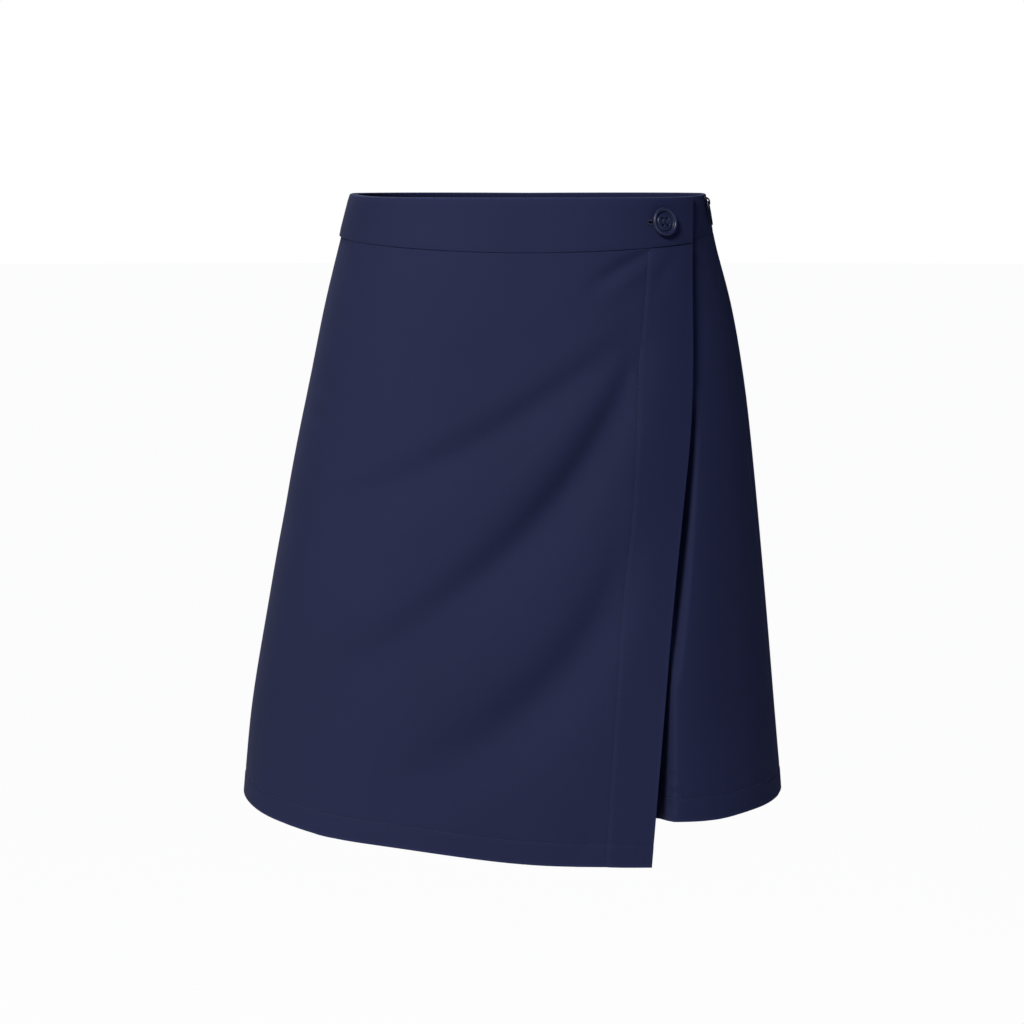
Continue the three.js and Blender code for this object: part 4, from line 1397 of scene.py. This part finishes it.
ZIP_DROP = 3.9  # of the closed slider's middle
ZIP_LENGTH, TAPE_WIDTH, TAPE_TOP = 160, 11, 2
TAPE_GAP, TAPE_LIFT, TAPE_THICKNESS = 0.45, -2.7, 0.5  # half the gap between the tapes, and their own lift
TEETH_DEPTH, TEETH_PITCH, TEETH_SIZE = 0.75, 1.25, (1.7, 0.7, 0.8)
SLIDER_LIFT, PULL_LIFT = 0.15, 1.8  # the slider's seat outside the shorts' face, and the pull's outside that
METAL_CREASE = 40


def plate(outlines, thickness, bevel):
    """A flat plate with softened edges from outlines in its own plane, centred on it, in millimetres."""
    curve = bpy.data.curves.new("plate", "CURVE")
    curve.dimensions = "2D"
    curve.fill_mode = "BOTH"
    curve.extrude = (thickness / 2 - bevel) * MM
    curve.bevel_depth = bevel * MM
    curve.bevel_resolution = 2
    curve.offset = -bevel * MM
    for outline in outlines:
        line = curve.splines.new("POLY")
        line.points.add(len(outline) - 1)
        for point, (x, y) in zip(line.points, outline):
            point.co = (x * MM, y * MM, 0, 1)
        line.use_cyclic_u = True
    flat = new_object("plate", curve)
    mesh = plain_mesh(flat)
    bpy.data.objects.remove(flat)
    work = bmesh.new()
    work.from_mesh(mesh)
    bmesh.ops.remove_doubles(work, verts=work.verts, dist=0.01 * MM)
    bmesh.ops.recalc_face_normals(work, faces=work.faces)
    work.to_mesh(mesh)
    work.free()
    return mesh


def box_outline(width, height, corner):
    """A rectangle with round corners."""
    across, up = width / 2 - corner, height / 2 - corner
    corners = (across, up, 0), (-across, up, 90), (-across, -up, 180), (across, -up, 270)
    return [point for x, y, start in corners for point in arc(x, y, corner, start, 90, 4)]


def merged(name, meshes):
    work = bmesh.new()
    for mesh in meshes:
        work.from_mesh(mesh)
    mesh = bpy.data.meshes.new(name)
    work.to_mesh(mesh)
    work.free()
    return mesh


class OBJECT_OT_culottes_zip(bpy.types.Operator):
    """Make the concealed side zip: tapes, teeth, slider and pull"""

    bl_idname = "object.culottes_zip"
    bl_label = "Side zip"

    # The slider's body behind the tapes, its neck between them and its crown outside: width, height, corner,
    # thickness, softened edge, and the height of its middle above the seat.
    PLATES = (4.8, 7.8, 1.6, 2.2, 0.35, -5.0), (0.55, 5, 0.2, 4.6, 0.1, -1.75), (3.5, 6.9, 1.5, 0.8, 0.25, 0.7)
    BRIDGE_HALF, BRIDGE_RISE = (3.1, 1.85), (2.15, 1.32)  # half length and rise, outside and inside
    BRIDGE_SQUARE, BRIDGE_WIDTH, BRIDGE_BEVEL, BRIDGE_LIFT = 0.45, 1.6, 0.18, 1.05
    SHOULDER = (1.7, 0.45), (2.0, 0.1), (2.45, -6)  # half the tag's outline, down to its widest place
    TIP, TAG_END = 1.5, -14.95
    WINDOW = (-1.3, -0.45), (-1.3, -3.9), (-1, -4.25), (1, -4.25), (1.3, -3.9), (1.3, -0.45)
    PIP, PIP_AT = 0.75, -11.8  # a small hole near the tag's end
    TAG_THICKNESS, TAG_BEVEL = 0.75, 0.16

    def execute(self, context):
        self.tapes()
        seat = seat_on(LEFT_SEAM, ZIP_DROP, SLIDER_LIFT)
        slider = new_object("zip_slider_metal", self.slider())
        settle(slider, seat, "zip_metal", "zip_slider", crease=METAL_CREASE)
        pull, above = new_object("zip_pull_metal", self.pull()), Matrix.Translation((0, 0, PULL_LIFT * MM))
        settle(pull, seat @ above, "zip_metal", "zip_pull", PULL, METAL_CREASE)
        return {"FINISHED"}

    def tapes(self):
        for name, way in (("front", -1), ("back", 1)):
            start = LEFT_SEAM + way * TAPE_GAP / ZIP_ARC
            end = start + way * TAPE_WIDTH / TAPE_ARC
            angles = np.linspace(min(start, end), max(start, end), 9)
            angle, drop = np.meshgrid(angles, np.linspace(TAPE_TOP, ZIP_LENGTH, 64))
            sheet = Sheet(around(angle, drop, TAPE_LIFT), -1)
            made = shell(f"zip_tape_{name}_cloth", sheet, 0.0, TAPE_THICKNESS, "zip_tape")
            edge = np.s_[3:, 0 if way > 0 else -1]
            line = (sheet.points[edge] - sheet.normals[edge] * TEETH_DEPTH) * MM
            teeth = bars(
                f"zip_teeth_{name}",
                [(line, sheet.normals[edge])],
                "zip_metal",
                TEETH_PITCH * MM,
                [length_of * MM for length_of in TEETH_SIZE],
                Turn=RIGHT_ANGLE,
                Unevenness=0.0,
            )
            sew(f"zip_tape_{name}", sheet)

    def slider(self):
        """A body behind the tapes, a neck between them, and a crown outside with an arched bridge."""
        plates = [
            raised(plate([box_outline(width, height, corner)], thickness, bevel), lift)
            for width, height, corner, thickness, bevel, lift in self.PLATES
        ]
        (outer_half, inner_half), (outer_rise, inner_rise) = self.BRIDGE_HALF, self.BRIDGE_RISE
        bridge = [(outer_half * math.cos(a), max(0.0, outer_rise * math.sin(a))) for a in np.linspace(0, math.pi, 15)]
        bridge += [
            (inner_half * math.cos(a), inner_rise * math.sin(a) ** self.BRIDGE_SQUARE)
            for a in np.linspace(math.pi, 0, 15)
        ]
        bridge = plate([bridge], self.BRIDGE_WIDTH, self.BRIDGE_BEVEL)
        stand = Matrix.Rotation(RIGHT_ANGLE, 4, "Z") @ Matrix.Rotation(RIGHT_ANGLE, 4, "X")
        return merged("zip_slider_metal", [*plates, raised(moved_mesh(bridge, stand), self.BRIDGE_LIFT)])

    def pull(self):
        """A tapered tag with a window at its top and a round tip."""
        tag = [(-x, y) for x, y in self.SHOULDER]
        tag += arc(0, self.TIP + self.TAG_END, self.TIP, 180, 180, 12)
        tag += reversed(self.SHOULDER)
        pip = arc(0, self.PIP_AT, self.PIP, 0, 360, 16)[:-1]
        return plate([tag, self.WINDOW, pip], self.TAG_THICKNESS, self.TAG_BEVEL)


# ---------------------------------------------------------------- the stage


class SCENE_OT_culottes_stage(bpy.types.Operator):
    """Set the camera, the lights and the pale floor"""

    bl_idname = "scene.culottes_stage"
    bl_label = "Stage"

    DISTANCE = 2.5
    LENS, SENSOR = 137.3, 36
    TILT = 5.41
    ASIDE = -0.0102
    ABOVE_WAIST = 0.034
    FLOOR, FLOOR_RADIUS, FLOOR_SIDES = -0.95, 30, 96
    FLOOR_GLOW = 0.97  # share of plain white in the floor as it is seen
    AMBIENT = (0.018, 0.034, 0.115)
    AIM = Vector((0, 0, -0.18))
    # Each lamp's name, place, width and height, watts and tint.
    LAMPS = (
        ("key", (-1.0, -2.3, 1.7), (0.8, 0.8), 67, (1, 0.97, 0.92)),
        ("left fill", (-2.5, -0.8, 0.4), (1.2, 1.6), 6, (1, 0.92, 0.55)),
        ("back", (-0.5, 1.9, 2.1), (0.8, 0.8), 46, (1, 0.97, 0.95)),
    )

    def execute(self, context):
        scene = context.scene
        scene.view_settings.view_transform = "Standard"
        scene.view_settings.look = "None"
        camera = new_object("camera", bpy.data.cameras.new("camera"))
        camera.data.lens = self.LENS
        camera.data.sensor_width = self.SENSOR
        camera.location = (self.ASIDE, -self.DISTANCE, WAIST_TOP * MM + self.ABOVE_WAIST)
        camera.rotation_euler = (math.radians(90 - self.TILT), 0, 0)
        scene.camera = camera
        for name, spot, size, watts, tint in self.LAMPS:
            light = bpy.data.lights.new(name, "AREA")
            light.shape = "RECTANGLE"
            light.size, light.size_y = size
            light.energy, light.color = watts, tint
            lamp = new_object(name, light)
            lamp.location = spot
            lamp.rotation_euler = (self.AIM - Vector(spot)).to_track_quat("-Z", "Y").to_euler()
        self.floor()
        self.world(scene)
        return {"FINISHED"}

    def floor(self):
        mesh = bpy.data.meshes.new("floor")
        turns = [2 * math.pi * i / self.FLOOR_SIDES for i in range(self.FLOOR_SIDES)]
        ring = [(self.FLOOR_RADIUS * math.cos(a), self.FLOOR_RADIUS * math.sin(a), self.FLOOR) for a in turns]
        mesh.from_pydata(ring, [], [tuple(range(len(ring)))])
        n = Finish("pale floor")
        n.paint(Base_Color=(0.82, 0.82, 0.82, 1), Roughness=0.9)
        seen = n.new("ShaderNodeLightPath").outputs["Is Camera Ray"]
        joint = n.out(
            "ShaderNodeMixShader",
            Fac=n.math("MULTIPLY", seen, self.FLOOR_GLOW),
            _1=n.shader.outputs[0],
            _2=n.out("ShaderNodeEmission", Color=(1, 1, 1, 1), Strength=1.0),
        )
        n.put(n.tree.nodes["Material Output"], Surface=joint)
        mesh.materials.append(n.material)
        new_object("floor", mesh)

    def world(self, scene):
        """Lit by a little blue from all round, and white where it is seen."""
        scene.world = bpy.data.worlds.new("studio")
        scene.world.use_nodes = True
        n = Nodes(scene.world.node_tree)
        seen = n.new("ShaderNodeLightPath").outputs["Is Camera Ray"]
        n.put(n.tree.nodes["Background"], Color=n.blend(seen, (*self.AMBIENT, 1), (1, 1, 1, 1)))


# ---------------------------------------------------------------- the sidebar and the run

STEPS = (
    SCENE_OT_culottes_stage,
    OBJECT_OT_culottes_shorts,
    OBJECT_OT_culottes_wrap,
    OBJECT_OT_culottes_waistbands,
    OBJECT_OT_culottes_button,
    OBJECT_OT_culottes_zip,
)


class VIEW3D_PT_culottes(bpy.types.Panel):
    """The sizes, the colours and one button for each step"""

    bl_label = "Culottes"
    bl_idname = "VIEW3D_PT_culottes"
    bl_space_type = "VIEW_3D"
    bl_region_type = "UI"
    bl_category = "Culottes"

    def draw(self, context):
        for group in (context.scene.culottes_sizes, context.scene.culottes_colours):
            column = self.layout.column()
            for name in group.__annotations__:
                column.prop(group, name)
        for step in STEPS:
            self.layout.operator(step.bl_idname, text=step.bl_label)


CLASSES = (CulottesSizes, CulottesColours, *STEPS, VIEW3D_PT_culottes)


def register():
    for cls in CLASSES:
        bpy.utils.register_class(cls)
    bpy.types.Scene.culottes_sizes = bpy.props.PointerProperty(type=CulottesSizes)
    bpy.types.Scene.culottes_colours = bpy.props.PointerProperty(type=CulottesColours)


def unregister():
    del bpy.types.Scene.culottes_colours
    del bpy.types.Scene.culottes_sizes
    for cls in reversed(CLASSES):
        bpy.utils.unregister_class(cls)


def main():
    register()
    bpy.ops.scene.culottes_stage()
    bpy.ops.object.culottes_shorts()
    bpy.ops.object.culottes_wrap()
    bpy.ops.object.culottes_waistbands()
    bpy.ops.object.culottes_button()
    bpy.ops.object.culottes_zip()


if __name__ == "__main__":
    main()
